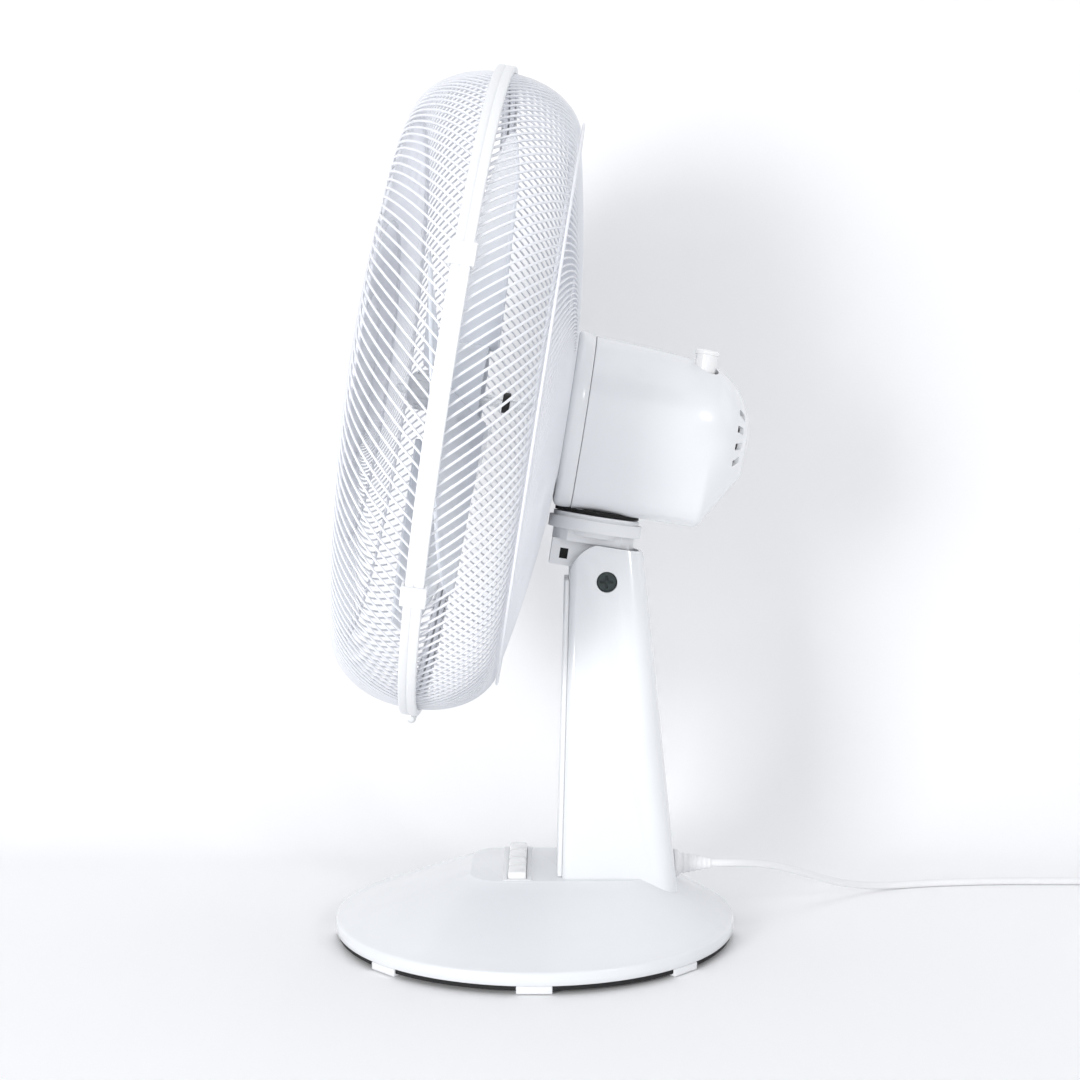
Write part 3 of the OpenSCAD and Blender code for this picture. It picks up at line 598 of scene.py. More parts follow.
def loft(sections, open_start=False):
    """A bmesh through rings of points: each ring is drawn out from the one before it."""
    shape = bmesh.new()
    count = len(sections[0])
    ring = bmesh.ops.create_circle(shape, cap_ends=False, segments=count, radius=1.0)["verts"]
    for vertex, place in zip(ring, sections[0]):
        vertex.co = place
    start = shape.faces.new(ring)
    edges = list(start.edges)
    for section in sections[1:]:
        made = set(bmesh.ops.extrude_edge_only(shape, edges=edges)["geom"])
        ring = [next(e.other_vert(vertex) for e in vertex.link_edges if e.other_vert(vertex) in made)
                for vertex in ring]
        for vertex, place in zip(ring, section):
            vertex.co = place
        fresh = set(ring)
        edges = [e for e in made
                 if isinstance(e, bmesh.types.BMEdge) and e.verts[0] in fresh and e.verts[1] in fresh]
    shape.faces.new(reversed(ring))
    bmesh.ops.recalc_face_normals(shape, faces=shape.faces)
    if open_start:
        bmesh.ops.delete(shape, geom=[start], context="FACES_ONLY")
    return shape


def smooth_through(rows, parts):
    """Rows of numbers with a smooth curve's rows between them."""
    out = []
    for i in range(len(rows) - 1):
        a, b = rows[max(i - 1, 0)], rows[i]
        c, d = rows[i + 1], rows[min(i + 2, len(rows) - 1)]
        for k in range(parts):
            t = k / parts
            out.append(tuple(
                0.5 * (2 * q + (r - p) * t + (2 * p - 5 * q + 4 * r - s) * t * t
                       + (3 * q - p - 3 * r + s) * t ** 3)
                for p, q, r, s in zip(a, b, c, d)))
    out.append(tuple(rows[-1]))
    return out


# ---- Stage: camera, floor, lights ----

CAMERA_AT = Vector((1.070, -0.0005, 0.325))
CAMERA_DROP = radians(3.1)
CAMERA_LENS = 52.8


def area_light(name, place, aim, size, power, tint=(1.0, 1.0, 1.0)):
    data = bpy.data.lights.new(name, "AREA")
    data.shape = "RECTANGLE"
    data.size, data.size_y = size
    data.energy = power
    data.color = tint
    lamp = bpy.data.objects.new(name, data)
    lamp.location = place
    direction = Vector(aim) - Vector(place)
    lamp.rotation_mode = "QUATERNION"
    lamp.rotation_quaternion = direction.to_track_quat("-Z", "Y")
    bpy.context.scene.collection.objects.link(lamp)
    return lamp


def floor_material():
    material, tree, shader, where = start_material("paper_sweep")
    cloud = noise(tree, where, 3.0, 3.0, 0.5)
    body = mix_colour(tree, cloud, shade(colours().floor, 0.985), shade(colours().floor, 1.0))
    tree.links.new(body, shader.inputs["Base Color"])
    shader.inputs["Roughness"].default_value = 0.85
    shader.inputs["Specular IOR Level"].default_value = 0.15
    return material


def paper_sweep(front, back, wide, high, bend):
    """A sheet of paper that runs from the floor up a wall behind the fan."""
    shape = bmesh.new()
    turn = [(back + bend + bend * cos(t), bend + bend * sin(t))
            for t in (pi * 1.5 - pi * 0.5 * i / 16 for i in range(17))]
    profile = [(front, 0.0)] + turn + [(back, high)]
    verts = [shape.verts.new((x, -wide, z)) for x, z in profile]
    edges = [shape.edges.new(pair) for pair in zip(verts, verts[1:])]
    made = bmesh.ops.extrude_edge_only(shape, edges=edges)["geom"]
    bmesh.ops.translate(
        shape, vec=(0, 2 * wide, 0), verts=[v for v in made if isinstance(v, bmesh.types.BMVert)])
    bmesh.ops.recalc_face_normals(shape, faces=shape.faces)
    mesh = bpy.data.meshes.new("paper")
    shape.to_mesh(mesh)
    shape.free()
    mesh.shade_smooth()
    mesh.materials.append(floor_material())
    paper = bpy.data.objects.new("paper", mesh)
    bpy.context.scene.collection.objects.link(paper)


class FAN_OT_stage(bpy.types.Operator):
    """Sets the camera, the soft lights and the paper sweep"""
    bl_idname = "desk_fan.stage"
    bl_label = "Stage"

    def execute(self, context):
        data = bpy.data.cameras.new("camera")
        data.lens = CAMERA_LENS
        data.sensor_width = 36
        camera = bpy.data.objects.new("camera", data)
        camera.location = CAMERA_AT
        view = Vector((-cos(CAMERA_DROP), 0, -sin(CAMERA_DROP)))
        camera.rotation_mode = "QUATERNION"
        camera.rotation_quaternion = view.to_track_quat("-Z", "Y")
        context.scene.collection.objects.link(camera)
        context.scene.camera = camera

        paper_sweep(front=3.5, back=-0.3, wide=4.0, high=3.0, bend=0.12)
        area_light("window_light", (1.75, -1.05, 0.5), (0, 0, 0.33), (0.55, 0.55), 19.5)
        area_light("camera_fill", (2.2, 0.35, 0.75), (0, 0, 0.3), (2.0, 1.6), 7)
        area_light("highlight", (1.03, 0.99, 0.81), (0.04, 0.1, 0.35), (0.12, 0.18), 2)
        area_light("top_light", (0.1, 0.0, 1.9), (0, 0, 0.2), (1.5, 1.5), 5.5)
        area_light("back_light", (-0.15, 1.5, 0.9), (0, 0, 0.35), (0.8, 1.0), 2,
                   (0.95, 0.97, 1.0))

        world = bpy.data.worlds.new("soft_sky")
        world.use_nodes = True
        sky = world.node_tree.nodes["Background"]
        sky.inputs["Color"].default_value = (0.94, 0.96, 1.0, 1.0)
        sky.inputs["Strength"].default_value = 0.48
        context.scene.world = world
        context.scene.view_settings.view_transform = "Standard"
        return {"FINISHED"}


# ---- Cord ----

COIL_ROWS = 2
COIL_TURNS_WIDE = 3
CORD_Z = 0.046
LEAD_X = -0.112
COIL_Y = 0.468
COIL_R = 0.0285
PLUG_HALF = 6.85 * MM


def cord_route():
    """Points of the cord from the strain relief to the plug: lead, coiled turns and tail."""
    thick = sizes().cord_d
    low = thick / 2
    lead = [
        (0, 0.116, CORD_Z), (0, 0.124, CORD_Z), (-0.004, 0.136, 0.045), (-0.014, 0.151, 0.042),
        (-0.028, 0.168, 0.036), (-0.044, 0.186, 0.028), (-0.060, 0.204, 0.019),
        (-0.076, 0.223, 0.011), (-0.090, 0.244, 0.0055), (-0.100, 0.266, 0.003),
        (-0.106, 0.291, low), (-0.110, 0.321, low), (LEAD_X, 0.351, low),
        (LEAD_X, 0.381, low), (LEAD_X, 0.411, low), (LEAD_X, 0.436, low),
        (LEAD_X, COIL_Y - 0.010, low)]
    coil_x = LEAD_X - COIL_R - thick
    steps = 28
    coil = []
    for i in range(COIL_ROWS * COIL_TURNS_WIDE * steps + 1):
        turn = min(i // steps, COIL_ROWS * COIL_TURNS_WIDE - 1)
        part = i / steps - turn
        shift = max(0.0, (part - 0.6) / 0.4)
        shift = shift * shift * (3 - 2 * shift)
        climbing = turn == COIL_TURNS_WIDE - 1
        if turn < COIL_TURNS_WIDE:
            radius = COIL_R + thick - thick * (turn + (0 if climbing else shift))
            height = low + (thick * shift if climbing else 0)
        else:
            last = turn == COIL_ROWS * COIL_TURNS_WIDE - 1
            layer_turn = turn - COIL_TURNS_WIDE
            radius = COIL_R - thick + thick * (layer_turn + (0 if last else shift))
            height = low + thick
        angle = 2 * pi * i / steps
        coil.append((coil_x + radius * cos(angle), COIL_Y + radius * sin(angle), height))
    tail = [(LEAD_X, COIL_Y + 0.012, low + thick * 0.92), (LEAD_X, COIL_Y + 0.024, low + thick * 0.8),
            (LEAD_X, COIL_Y + 0.034, PLUG_HALF)]
    return smooth_through(lead, 3)[:-1] + [lead[-1]] + coil + tail


def strain_relief():
    """Flexible sleeve at the cord's exit, with ribs cut round its taper."""
    low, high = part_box("strain_relief")
    flange = 3.5 * MM
    start = low.y
    end = high.y
    wall_y = start + 7 * MM
    tip = sizes().cord_d / 2 + 1 * MM
    profile = [(sizes().cord_d / 2 * 0.96, start), (7.9 * MM, start), (7.9 * MM, wall_y),
               (9.5 * MM, wall_y), (9.5 * MM, wall_y + 2.2 * MM), (7.8 * MM, wall_y + flange)]
    ribs = 6
    for i in range(ribs):
        for share, depth in ((0.10, 0.0), (0.30, 0.6 * MM), (0.62, 0.6 * MM), (0.82, 0.0)):
            t = (i + share) / ribs
            y = wall_y + flange + t * (end - wall_y - flange)
            profile.append((7.6 * MM + (tip - 7.6 * MM) * t - depth * (1 - 0.5 * t), y))
    profile += [(tip, end), (sizes().cord_d / 2 * 0.96, end)]
    shape = turned(rounded(profile, 0.5 * MM, 2), 48)
    place = Matrix.Translation((0, 0, CORD_Z)) @ Matrix.Rotation(-pi / 2, 4, "X")
    return write_piece("strain_relief_sleeve", shape, cord_sheath(), "stand",
                       ("strain_relief",), place, 40)


def plug():
    """Body of the two-pin plug: flattened, with a ribbed neck."""
    low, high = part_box("plug_body")
    centre = (low + high) / 2
    neck = 12 * MM
    shape = bmesh.new()
    profile = [(0, 0), (sizes().cord_d / 2 + 0.9 * MM, 0)]
    for i in range(4):
        y = (1.5 + 2.4 * i) * MM
        r = (3.9 + 0.5 * i) * MM
        profile += [(r, y), (r - 0.8 * MM, y + 0.7 * MM), (r - 0.8 * MM, y + 1.5 * MM), (r, y + 2.1 * MM)]
    profile += [(6.0 * MM, neck + 2 * MM), (0, neck + 2 * MM)]
    shape = turned(rounded(profile, 0.3 * MM, 2), 40)
    body = bmesh.new()
    half_x = (high.x - low.x) / 2
    half_z = (high.z - low.z) / 2
    verts = add_block(body, (-half_x, -half_z, neck), (half_x, half_z, high.y - low.y),
                      bevel=4.5 * MM, segments=6)
    for vertex in verts:
        share = (vertex.co.z - neck) / (high.y - low.y - neck)
        if share < 0.5:
            vertex.co.x *= 0.62 + 0.38 * sin(pi * share)
    place = Matrix.Translation((centre.x, low.y, centre.z)) @ Matrix.Rotation(-pi / 2, 4, "X")
    return write_piece("plug_moulding", join_shapes(shape, body), cord_sheath(), "stand",
                       ("plug_body",), place, 40)


class FAN_OT_cord(bpy.types.Operator):
    """Makes the mains cord with its strain relief, coil, tie and plug"""
    bl_idname = "desk_fan.cord"
    bl_label = "Cord"

    def execute(self, context):
        points = cord_route()
        tube = tube_mesh("mains_cord", [points], sizes().cord_d / 2, 3)
        cord = write_piece("mains_cord", tube, cord_sheath(), "stand",
                           ("cord_lead", "cord_coil", "cord_tail"), sharp=60)
        strain_relief()
        moulding = plug()
        pins = eased_copy("plug_contacts", "plug_pins", metal("nickel_pin", (0.72, 0.68, 0.55), 0.2),
                          "stand", 0.8 * MM)
        tie = eased_copy("coil_tie", "cord_tie", dull("tie_rubber", (0.03, 0.03, 0.032), 0.55),
                         "stand", 0.3 * MM)
        return {"FINISHED"}


# ---- Base and keys ----

def deck_point(share):
    """A point of the deck's outline: half of a side, a round corner and half of the next side."""
    quarter, t = divmod(share * 4, 1.0)
    back, front = 0.078, -0.044
    half_x, corner = 0.0455, 0.022
    side_share = 0.2
    mid_y = (back + front) / 2
    half_y = (back - front) / 2
    quarter = int(quarter) % 4
    swap = quarter % 2
    first, second = (half_x, half_y) if not swap else (half_y, half_x)
    if t < side_share:
        u, v = first, (second - corner) * t / side_share
    elif t > 1 - side_share:
        u, v = (first - corner) * (1 - t) / side_share, second
    else:
        angle = pi / 2 * (t - side_share) / (1 - 2 * side_share)
        u, v = first - corner + corner * cos(angle), second - corner + corner * sin(angle)
    x, y = ((u, v), (-v, u), (-u, -v), (v, -u))[quarter]
    return Vector((x, y + mid_y, 0))


def base_ring(blend, z, grow=0.0, count=160):
    """A ring of the base between the round rim (blend 0) and the deck's outline (blend 1)."""
    ring = []
    for i in range(count):
        share = i / count
        angle = 2 * pi * share
        rim = Vector((cos(angle), sin(angle), 0)) * (BASE_R - 2 * MM)
        deck = deck_point(share)
        point = rim.lerp(deck, blend)
        point += (point - Vector((0, 0.017, 0)) * blend).normalized() * grow
        ring.append((point.x, point.y + BASE_MIDDLE.y, z))
    return ring


def base_shell():
    """The base's glossy cover, drawn from its round rim up to the flat deck."""
    bottom = RIM_Z
    deck = BASE[1].z
    rim_top = bottom + 8.5 * MM
    sections = [
        base_ring(0, bottom, 1.4 * MM), base_ring(0, bottom + 0.6 * MM, 2.0 * MM),
        base_ring(0, bottom + 4 * MM, 2.0 * MM), base_ring(0, rim_top - 2.2 * MM, 2.0 * MM)]
    for grow, drop in ((1.85, 1.2), (1.3, 0.4), (0.5, 0.05)):
        sections.append(base_ring(0, rim_top - drop * MM, grow * MM))
    rows = 10
    for i in range(rows + 1):
        t = 0.012 + (0.985 - 0.012) * i / rows
        sections.append(base_ring(t, rim_top + (deck - 0.8 * MM - rim_top) * t
                                  + 0.5 * MM * sin(pi * t)))
    for grow, drop in ((0.0, 0.42), (-0.5, 0.12), (-1.3, 0.0)):
        sections.append(base_ring(1, deck - drop * MM, grow * MM))
    shape = loft(sections, open_start=True)
    shell = write_piece("base_shell", shape, glossy_white(), "stand",
                        ("base_cover",), sharp=60)
    wall = shell.modifiers.new("wall", "SOLIDIFY")
    wall.thickness = sizes().shell
    wall.offset = -1
    bake_modifiers(shell)
    slot_low, slot_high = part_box("key_bezel")
    opening = bmesh.new()
    room = 0.3 * MM
    add_block(opening, (slot_low.x + 1 * MM - room, slot_low.y + 1 * MM - room, 0.030),
              (slot_high.x - 1 * MM + room, slot_high.y - 1 * MM + room, 0.060))
    cut(shell, opening)
    foot = bmesh.new()
    add_block(foot, (-0.0285, 0.020, 0.035), (0.0285, 0.068, 0.060))
    cut(shell, foot)
    shell.data.shade_smooth()
    shell.data.set_sharp_from_angle(angle=radians(50))
    return shell


def base_floor():
    """Bottom plate under the base, near black as painted shade under the rim, with white tabs at its edge
    and screw posts.
    """
    floor_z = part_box("base_plate")[0].z
    plate_low, plate_top = 2.5 * MM, 5.0 * MM
    inner, outer = BASE_R - 1.4 * MM, BASE_R - 0.6 * MM
    to_middle = Matrix.Translation((0, BASE_MIDDLE.y, 0))
    profile = [(0, plate_low), (inner - 0.5 * MM, plate_low), (inner, plate_low + 0.5 * MM),
               (inner, RIM_Z), (inner - 0.9 * MM, RIM_Z), (inner - 1 * MM, plate_top),
               (0, plate_top)]
    plate = turned(rounded(profile, 0.3 * MM, 2), 160)
    posts = bmesh.new()
    for side in (-1, 1):
        place = Matrix.Translation((side * 18 * MM, 50 * MM, 0))
        add_bar(posts, 7 * MM, plate_low + 1 * MM, 16 * MM, place, 40)
    # Painted shade: the plate and its posts are near black, so the gap under the rim reads dark.
    write_piece("base_floor", join_shapes(plate, posts),
                dull("rim_shade_black", (0.012, 0.012, 0.013), 0.8), "stand",
                ("base_plate",), to_middle, 40)
    tabs = bmesh.new()
    for i in range(TABS):
        place = Matrix.Rotation(2 * pi * i / TABS, 4, "Z")
        add_block(tabs, (BASE_R - 16 * MM, -11 * MM, floor_z), (outer, 11 * MM, RIM_Z), place,
                  bevel=0.8 * MM)
    write_piece("base_tabs", tabs, satin_white(), "stand", (), to_middle, 40)


class FAN_OT_base(bpy.types.Operator):
    """Makes the base's cover and finishes its plate, tabs, screw posts and feet"""
    bl_idname = "desk_fan.base"
    bl_label = "Base"

    def execute(self, context):
        base_shell()
        base_floor()
        eased_copy("base_pads", "base_feet", dull("foot_rubber", (0.03, 0.03, 0.032), 0.7), "stand",
                   0.6 * MM)
        return {"FINISHED"}


class FAN_OT_keys(bpy.types.Operator):
    """Makes the row of push keys and their bezel"""
    bl_idname = "desk_fan.keys"
    bl_label = "Keys"

    def execute(self, context):
        for name in ("off", "low", "medium", "high"):
            eased_copy("cap_" + name, "key_" + name, key_plastic(), name + "_key",
                       1.1 * MM)
        eased_copy("key_surround", "key_bezel", satin_white(), "stand", 0.3 * MM)
        return {"FINISHED"}


# ---- Column and neck ----

class FAN_OT_column(bpy.types.Operator):
    """Makes the column, its front panel and the tilt pivot's bolt and nut"""
    bl_idname = "desk_fan.column"
    bl_label = "Column"

    def execute(self, context):
        eased_copy("column_moulding", "column_shell", glossy_white(), "stand",
                   0.9 * MM)
        eased_copy("column_panel", "column_front", satin_white(), "stand", 0.7 * MM)
        eased_copy("pivot_bolt", "tilt_bolt", metal("black_oxide", (0.05, 0.06, 0.06), 0.12),
                   "stand", 0.35 * MM)
        eased_copy("pivot_nut", "tilt_nut", zinc(), "stand", 0.4 * MM)
        return {"FINISHED"}


class FAN_OT_neck(bpy.types.Operator):
    """Makes the tilting neck, its round plate, the swivel's rim and skirt, and near-black pieces of
    painted shade in the swivel's gap and the bracket's window
    """
    bl_idname = "desk_fan.neck"
    bl_label = "Neck"

    def execute(self, context):
        eased_copy("neck_bracket", "tilt_bracket", satin_white(), "neck", 0.7 * MM)
        eased_copy("neck_disc", "neck_plate", satin_white(), "neck", 0.8 * MM)
        swivel = HEAD @ Matrix.Translation(
            HEAD.inverted() @ Vector(JOINTS["oscillation"]["pos_m"]))
        belly = HOUSING[0].z
        plate_low, plate_top = (corner.z for corner in span("neck_plate", HEAD))
        profile = [(18 * MM, belly - 0.3 * MM), (28.5 * MM, belly - 0.3 * MM),
                   (28.5 * MM, belly - 2.6 * MM), (18 * MM, belly - 2.6 * MM)]
        # Painted shade: a near-black ring fills the swivel's gap between the housing and the neck.
        write_piece("swivel_gap_shade", turned(rounded(profile, 0.3 * MM, 2), 96),
                    dull("gap_shade_black", (0.004, 0.004, 0.004), 0.8), "head", (),
                    swivel, 40)
        profile = [(18 * MM, plate_top - 0.5 * MM), (29 * MM, plate_top - 0.5 * MM),
                   (29 * MM, belly - 3.2 * MM), (18 * MM, belly - 3.2 * MM)]
        write_piece("neck_rim", turned(rounded(profile, 0.5 * MM, 3), 96), satin_white(), "neck",
                    (), swivel, 40)
        profile = [(18 * MM, plate_low + 0.5 * MM), (25.5 * MM, plate_low + 0.5 * MM),
                   (25 * MM, plate_low - 3.5 * MM), (18 * MM, plate_low - 3.5 * MM)]
        write_piece("neck_skirt", turned(rounded(profile, 0.5 * MM, 3), 96), satin_white(), "neck",
                    (), swivel, 40)
        nose = span("tilt_bracket", HEAD)[0]
        # Painted shade: a near-black block sits inside the bracket's window, so it reads as a dark hole.
        window = bmesh.new()
        add_block(window, (-15.2 * MM, nose.y + 5.4 * MM, -97.2 * MM),
                  (15.2 * MM, nose.y + 12.1 * MM, -89.0 * MM), bevel=0.4 * MM)
        write_piece("window_shade_block", window, dull("window_shade_black", (0.004, 0.004, 0.004), 0.8), "neck",
                    (), HEAD, 40)
        return {"FINISHED"}


# ---- Motor ----

def housing_reach(angle, radius, low, half):
    """Distance from the motor's axis to the housing: a circle over a flat belly."""
    corner = hypot(half, low)
    if corner <= radius:
        return radius
    down = angle if cos(angle) >= 0 else pi - angle
    down = atan2(sin(down), cos(down))
    corner_angle = atan2(-low, half)
    tangent = corner_angle + pi / 2 - atan2(radius, sqrt(corner ** 2 - radius ** 2))
    if down >= tangent:
        return radius
    if down >= corner_angle:
        return radius / cos(down - tangent)
    return low / -sin(down)


def housing_section(back, radius, low, half, count=128):
    blur = radians(7)
    ring = []
    for i in range(count):
        angle = 2 * pi * i / count
        reach = sum(housing_reach(angle + blur * k, radius, low, half) for k in (-1, 0, 1)) / 3
        ring.append((reach * cos(angle), back, reach * sin(angle)))
    return ring


def motor_shell():
    """Motor housing: tapered drum with a flat belly, domed back and two rows of vents, with a near-black
    disc behind them as painted shade.
    """
    start = HOUSING[0].y
    belly = -HOUSING[0].z
    rows = [(start, 53.7), (0.116, 51.8), (0.1485, 49.1), (0.160, 46.9), (0.169, 43.8),
            (0.1768, 38.6), (0.183, 32.2), (0.1875, 25.8), (0.1912, 18.4), (0.1935, 11.0),
            (0.1946, 5.0)]
    rows = smooth_through([(a, r * MM) for a, r in rows], 4)
    sections = []
    edge = 0.5 * MM
    for index, (back, radius) in enumerate(rows):
        fall = max(0.0, (back - 0.168) / 0.021)
        low = belly - min(fall, 1.2) * 31 * MM
        half = 30 * MM - min(fall, 1.2) * 19 * MM
        if fall > 1.2:
            low, half = 0.001, 0.001
        if index == 0:
            sections.append(housing_section(back, radius - edge, low - edge, half - edge))
            back += edge
        sections.append(housing_section(back, radius, low, half))
    shape = loft(sections, open_start=True)
    shell = write_piece("motor_shell", shape, glossy_white(), "head",
                        ("motor_housing",), HEAD, 60)
    wall = shell.modifiers.new("wall", "SOLIDIFY")
    wall.thickness = sizes().shell
    wall.offset = -1
    bake_modifiers(shell)
    slots = bmesh.new()
    half_row = sizes().vents // 2
    for i in range(2 * half_row):
        step = i % half_row - (half_row - 1) / 2
        turn = Matrix.Rotation(pi * (i // half_row) + radians(22.5) * step, 4, "Y")
        add_block(slots, (23.5 * MM, 0.172, -2.3 * MM), (31 * MM, 0.2, 2.3 * MM), turn,
                  bevel=0.9 * MM, segments=3)
    cut(shell, slots, HEAD)
    holes = bmesh.new()
    knob = HEAD.inverted() @ middle("oscillation_knob")
    swivel = HEAD.inverted() @ Vector(JOINTS["oscillation"]["pos_m"])
    add_bar(holes, 7.3 * MM, 0.02, 0.07, Matrix.Translation((knob.x, knob.y, 0)), 48)
    add_bar(holes, 17 * MM, -0.07, -0.055, Matrix.Translation((0, swivel.y, 0)), 64)
    cut(shell, holes, HEAD)
    shell.data.shade_smooth()
    shell.data.set_sharp_from_angle(angle=radians(42))
    # Painted shade: a near-black disc inside the housing behind the vents, so the slots read dark.
    profile = [(20 * MM, 176 * MM), (33 * MM, 175 * MM), (33 * MM, 176 * MM), (20 * MM, 177 * MM)]
    write_piece("vent_shade_disc", turned(profile, 64), vent_shade_black(), "head", (),
                AXIAL, 40)
    return shell


def front_cover():
    """Front cover of the motor: a drum over the same flat belly, with a boss for the nut."""
    face, seam = HOUSING[0].y - 12.1 * MM, HOUSING[0].y - 0.3 * MM
    belly, half = -HOUSING[0].z, 30 * MM
    steps = [(face, -3.2), (face + 0.35 * MM, -2.1), (face + 1.2 * MM, -0.9),
             (face + 2.6 * MM, -0.2), (face + 4.2 * MM, 0.0), (face + 8 * MM, -0.9),
             (seam - 0.5 * MM, -2.1), (seam, -2.6)]
    sections = []
    for back, shrink in steps:
        low_shrink = min(0.0, shrink + 2.1) if back > face + 4 * MM else shrink
        sections.append(housing_section(back, 56 * MM + shrink * MM, belly + low_shrink * MM,
                                        half + low_shrink * MM))
    sections.reverse()
    shape = loft(sections, open_start=True)
    cover = write_piece("motor_front_cover", shape, glossy_white(), "head",
                        ("motor_cover",), HEAD, 50)
    wall = cover.modifiers.new("wall", "SOLIDIFY")
    wall.thickness = sizes().shell
    wall.offset = -1
    bake_modifiers(cover)
    hole = bmesh.new()
    add_bar(hole, 15 * MM, face - 20 * MM, face + 6 * MM, Matrix.Rotation(-pi / 2, 4, "X"), 64)
    cut(cover, hole, HEAD)
    cover.data.shade_smooth()
    cover.data.set_sharp_from_angle(angle=radians(50))
    profile = [(14 * MM, face - 10 * MM), (19 * MM, face - 10 * MM), (19 * MM, face + 1 * MM),
               (14 * MM, face + 1 * MM)]
    write_piece("cover_boss", turned(rounded(profile, 0.7 * MM, 4), 96), glossy_white(), "head",
                (), AXIAL, 40)


def knob():
    """Push-pull knob of the oscillation: a skirted button with a dished top and a grip ring."""
    low, high = span("oscillation_knob", HEAD)
    centre = (low + high) / 2
    top = high.z
    radius = (high.x - low.x) / 2
    profile = [(0, low.z), (4 * MM, low.z), (4 * MM, 36 * MM), (7 * MM, 36 * MM),
               (7 * MM, top - 3 * MM), (radius - 0.4 * MM, top - 3 * MM),
               (radius, top - 2.5 * MM), (radius - 0.3 * MM, top - 1.9 * MM), (radius, top - 1.2 * MM),
               (radius - 1 * MM, top), (5 * MM, top), (4.2 * MM, top - 0.7 * MM), (0, top - 0.9 * MM)]
    shape = turned(rounded(profile, 0.35 * MM, 3), 64)
    place = HEAD @ Matrix.Translation((centre.x, centre.y, 0))
    return write_piece("oscillation_button", shape, key_plastic(), "knob",
                       ("oscillation_knob",), place, 45)


class FAN_OT_motor(bpy.types.Operator):
    """Makes the motor's housing, its front cover and the oscillation knob"""
    bl_idname = "desk_fan.motor"
    bl_label = "Motor"

    def execute(self, context):
        motor_shell()
        front_cover()
        knob()
        return {"FINISHED"}


# ---- Grilles ----

WIRE_RIM = BAND[1].x - 5.2 * MM
FACE_R = BAND[1].x - 41 * MM
HUB_WIRE = 57 * MM
RIM_A = 2 * MM


def dome(radius, depth, shoulder):
    """Distance of the grille's surface from the band's middle at a radius."""
    if radius < FACE_R:
        return RIM_A + depth * (1 - (1 - shoulder) * (radius / FACE_R) ** 2)
    out = (radius - FACE_R) / (WIRE_RIM - FACE_R)
    return RIM_A + depth * shoulder * sqrt(max(0.0, 1 - out * out))


def wire_stations(depth, shoulder, steps=34):
    """Points along a spiral wire as (radius, turned angle, depth)."""
    inner = steps // 2
    radii = [HUB_WIRE + (FACE_R - HUB_WIRE) * i / inner for i in range(inner)]
    radii += [FACE_R + (WIRE_RIM - FACE_R) * sin(pi / 2 * i / (steps - inner))
              for i in range(steps - inner + 1)]
    out = [(radii[0], 0.0, dome(radii[0], depth, shoulder))]
    for radius in radii[1:]:
        last_radius, turn, last_depth = out[-1]
        here = dome(radius, depth, shoulder)
        step = hypot(radius - last_radius, here - last_depth)
        turn += tan(sizes().wire_slant) * step / ((radius + last_radius) / 2)
        out.append((radius, turn, here))
    return out


def grille(name, node, depth, shoulder, side, count, hub_plate, hoops):
    """One grille: spiral wires between a hub ring and a rim, with hoops and a centre plate."""
    stations = wire_stations(depth, shoulder)
    routes = []
    for i in range(count):
        first = 2 * pi * i / count
        routes.append([(r * cos(first + turn), r * sin(first + turn), side * z)
                       for r, turn, z in stations])
    wires = tube_mesh("wires", routes, sizes().wire_d / 2, 1)
    parts = [wires]
    for radius, depth_at, thick in hoops:
        parts.append(hoop(radius, side * depth_at, thick, 2))
    parts.append(turned(hub_plate, 96))
    write_piece(name, join_shapes(*parts), wire_coating(), "head", (node,), AXIAL, 60)


def plate_profile(face, back, bore, edge):
    """Centre plate of a grille, with a rolled edge and two pressed rings."""
    out = 1 if back > face else -1
    deep = abs(back - face)
    lip = 0.9 * MM
    profile = [(bore, face), (20.5 * MM if bore else 12 * MM, face),
               (22 * MM, face - out * lip * 0.6), (44 * MM, face - out * lip * 0.6),
               (46 * MM, face), (edge - 1.2 * MM, face), (edge, face + out * 0.3 * MM),
               (edge, back), (bore, back)]
    return rounded(profile, min(0.35 * MM, deep / 3), 2)


class FAN_OT_grilles(bpy.types.Operator):
    """Makes the front and back wire grilles with their centre plates"""
    bl_idname = "desk_fan.grilles"
    bl_label = "Grilles"

    def execute(self, context):
        front_depth, front_shoulder = 0.067, 0.78
        back_depth, back_shoulder = 0.0706, 0.72
        cover_face = COVER[0].z + 10 * MM
        edge = HUB_WIRE - 0.6 * MM
        count = sizes().wire_count
        front_hoops = [
            (WIRE_RIM - 0.4 * MM, RIM_A + 0.1 * MM, 3.4 * MM),
            (HUB_WIRE, dome(HUB_WIRE, front_depth, front_shoulder), 2.6 * MM),
            (FACE_R * 0.62, dome(FACE_R * 0.62, front_depth, front_shoulder) - 1.9 * MM, 2.2 * MM),
            (FACE_R, dome(FACE_R, front_depth, front_shoulder) - 1.9 * MM, 2.2 * MM)]
        grille("front_wires", "front_grille", front_depth, front_shoulder, -1, count,
               plate_profile(-front_depth - 1.2 * MM, -front_depth, 0, edge), front_hoops)
        back_hoops = [
            (WIRE_RIM - 0.4 * MM, RIM_A + 0.1 * MM, 3.4 * MM),
            (HUB_WIRE, dome(HUB_WIRE, back_depth, back_shoulder), 2.6 * MM),
            (0.187, 0.0535, 1.9 * MM),
            (FACE_R * 0.62, dome(FACE_R * 0.62, back_depth, back_shoulder) - 1.9 * MM, 2.2 * MM),
            (FACE_R, dome(FACE_R, back_depth, back_shoulder) - 1.9 * MM, 2.2 * MM)]
        grille("back_wires", "rear_grille", back_depth, back_shoulder, 1, count + 12,
               plate_profile(cover_face - 1.2 * MM, cover_face, 19.4 * MM, edge), back_hoops)
        return {"FINISHED"}


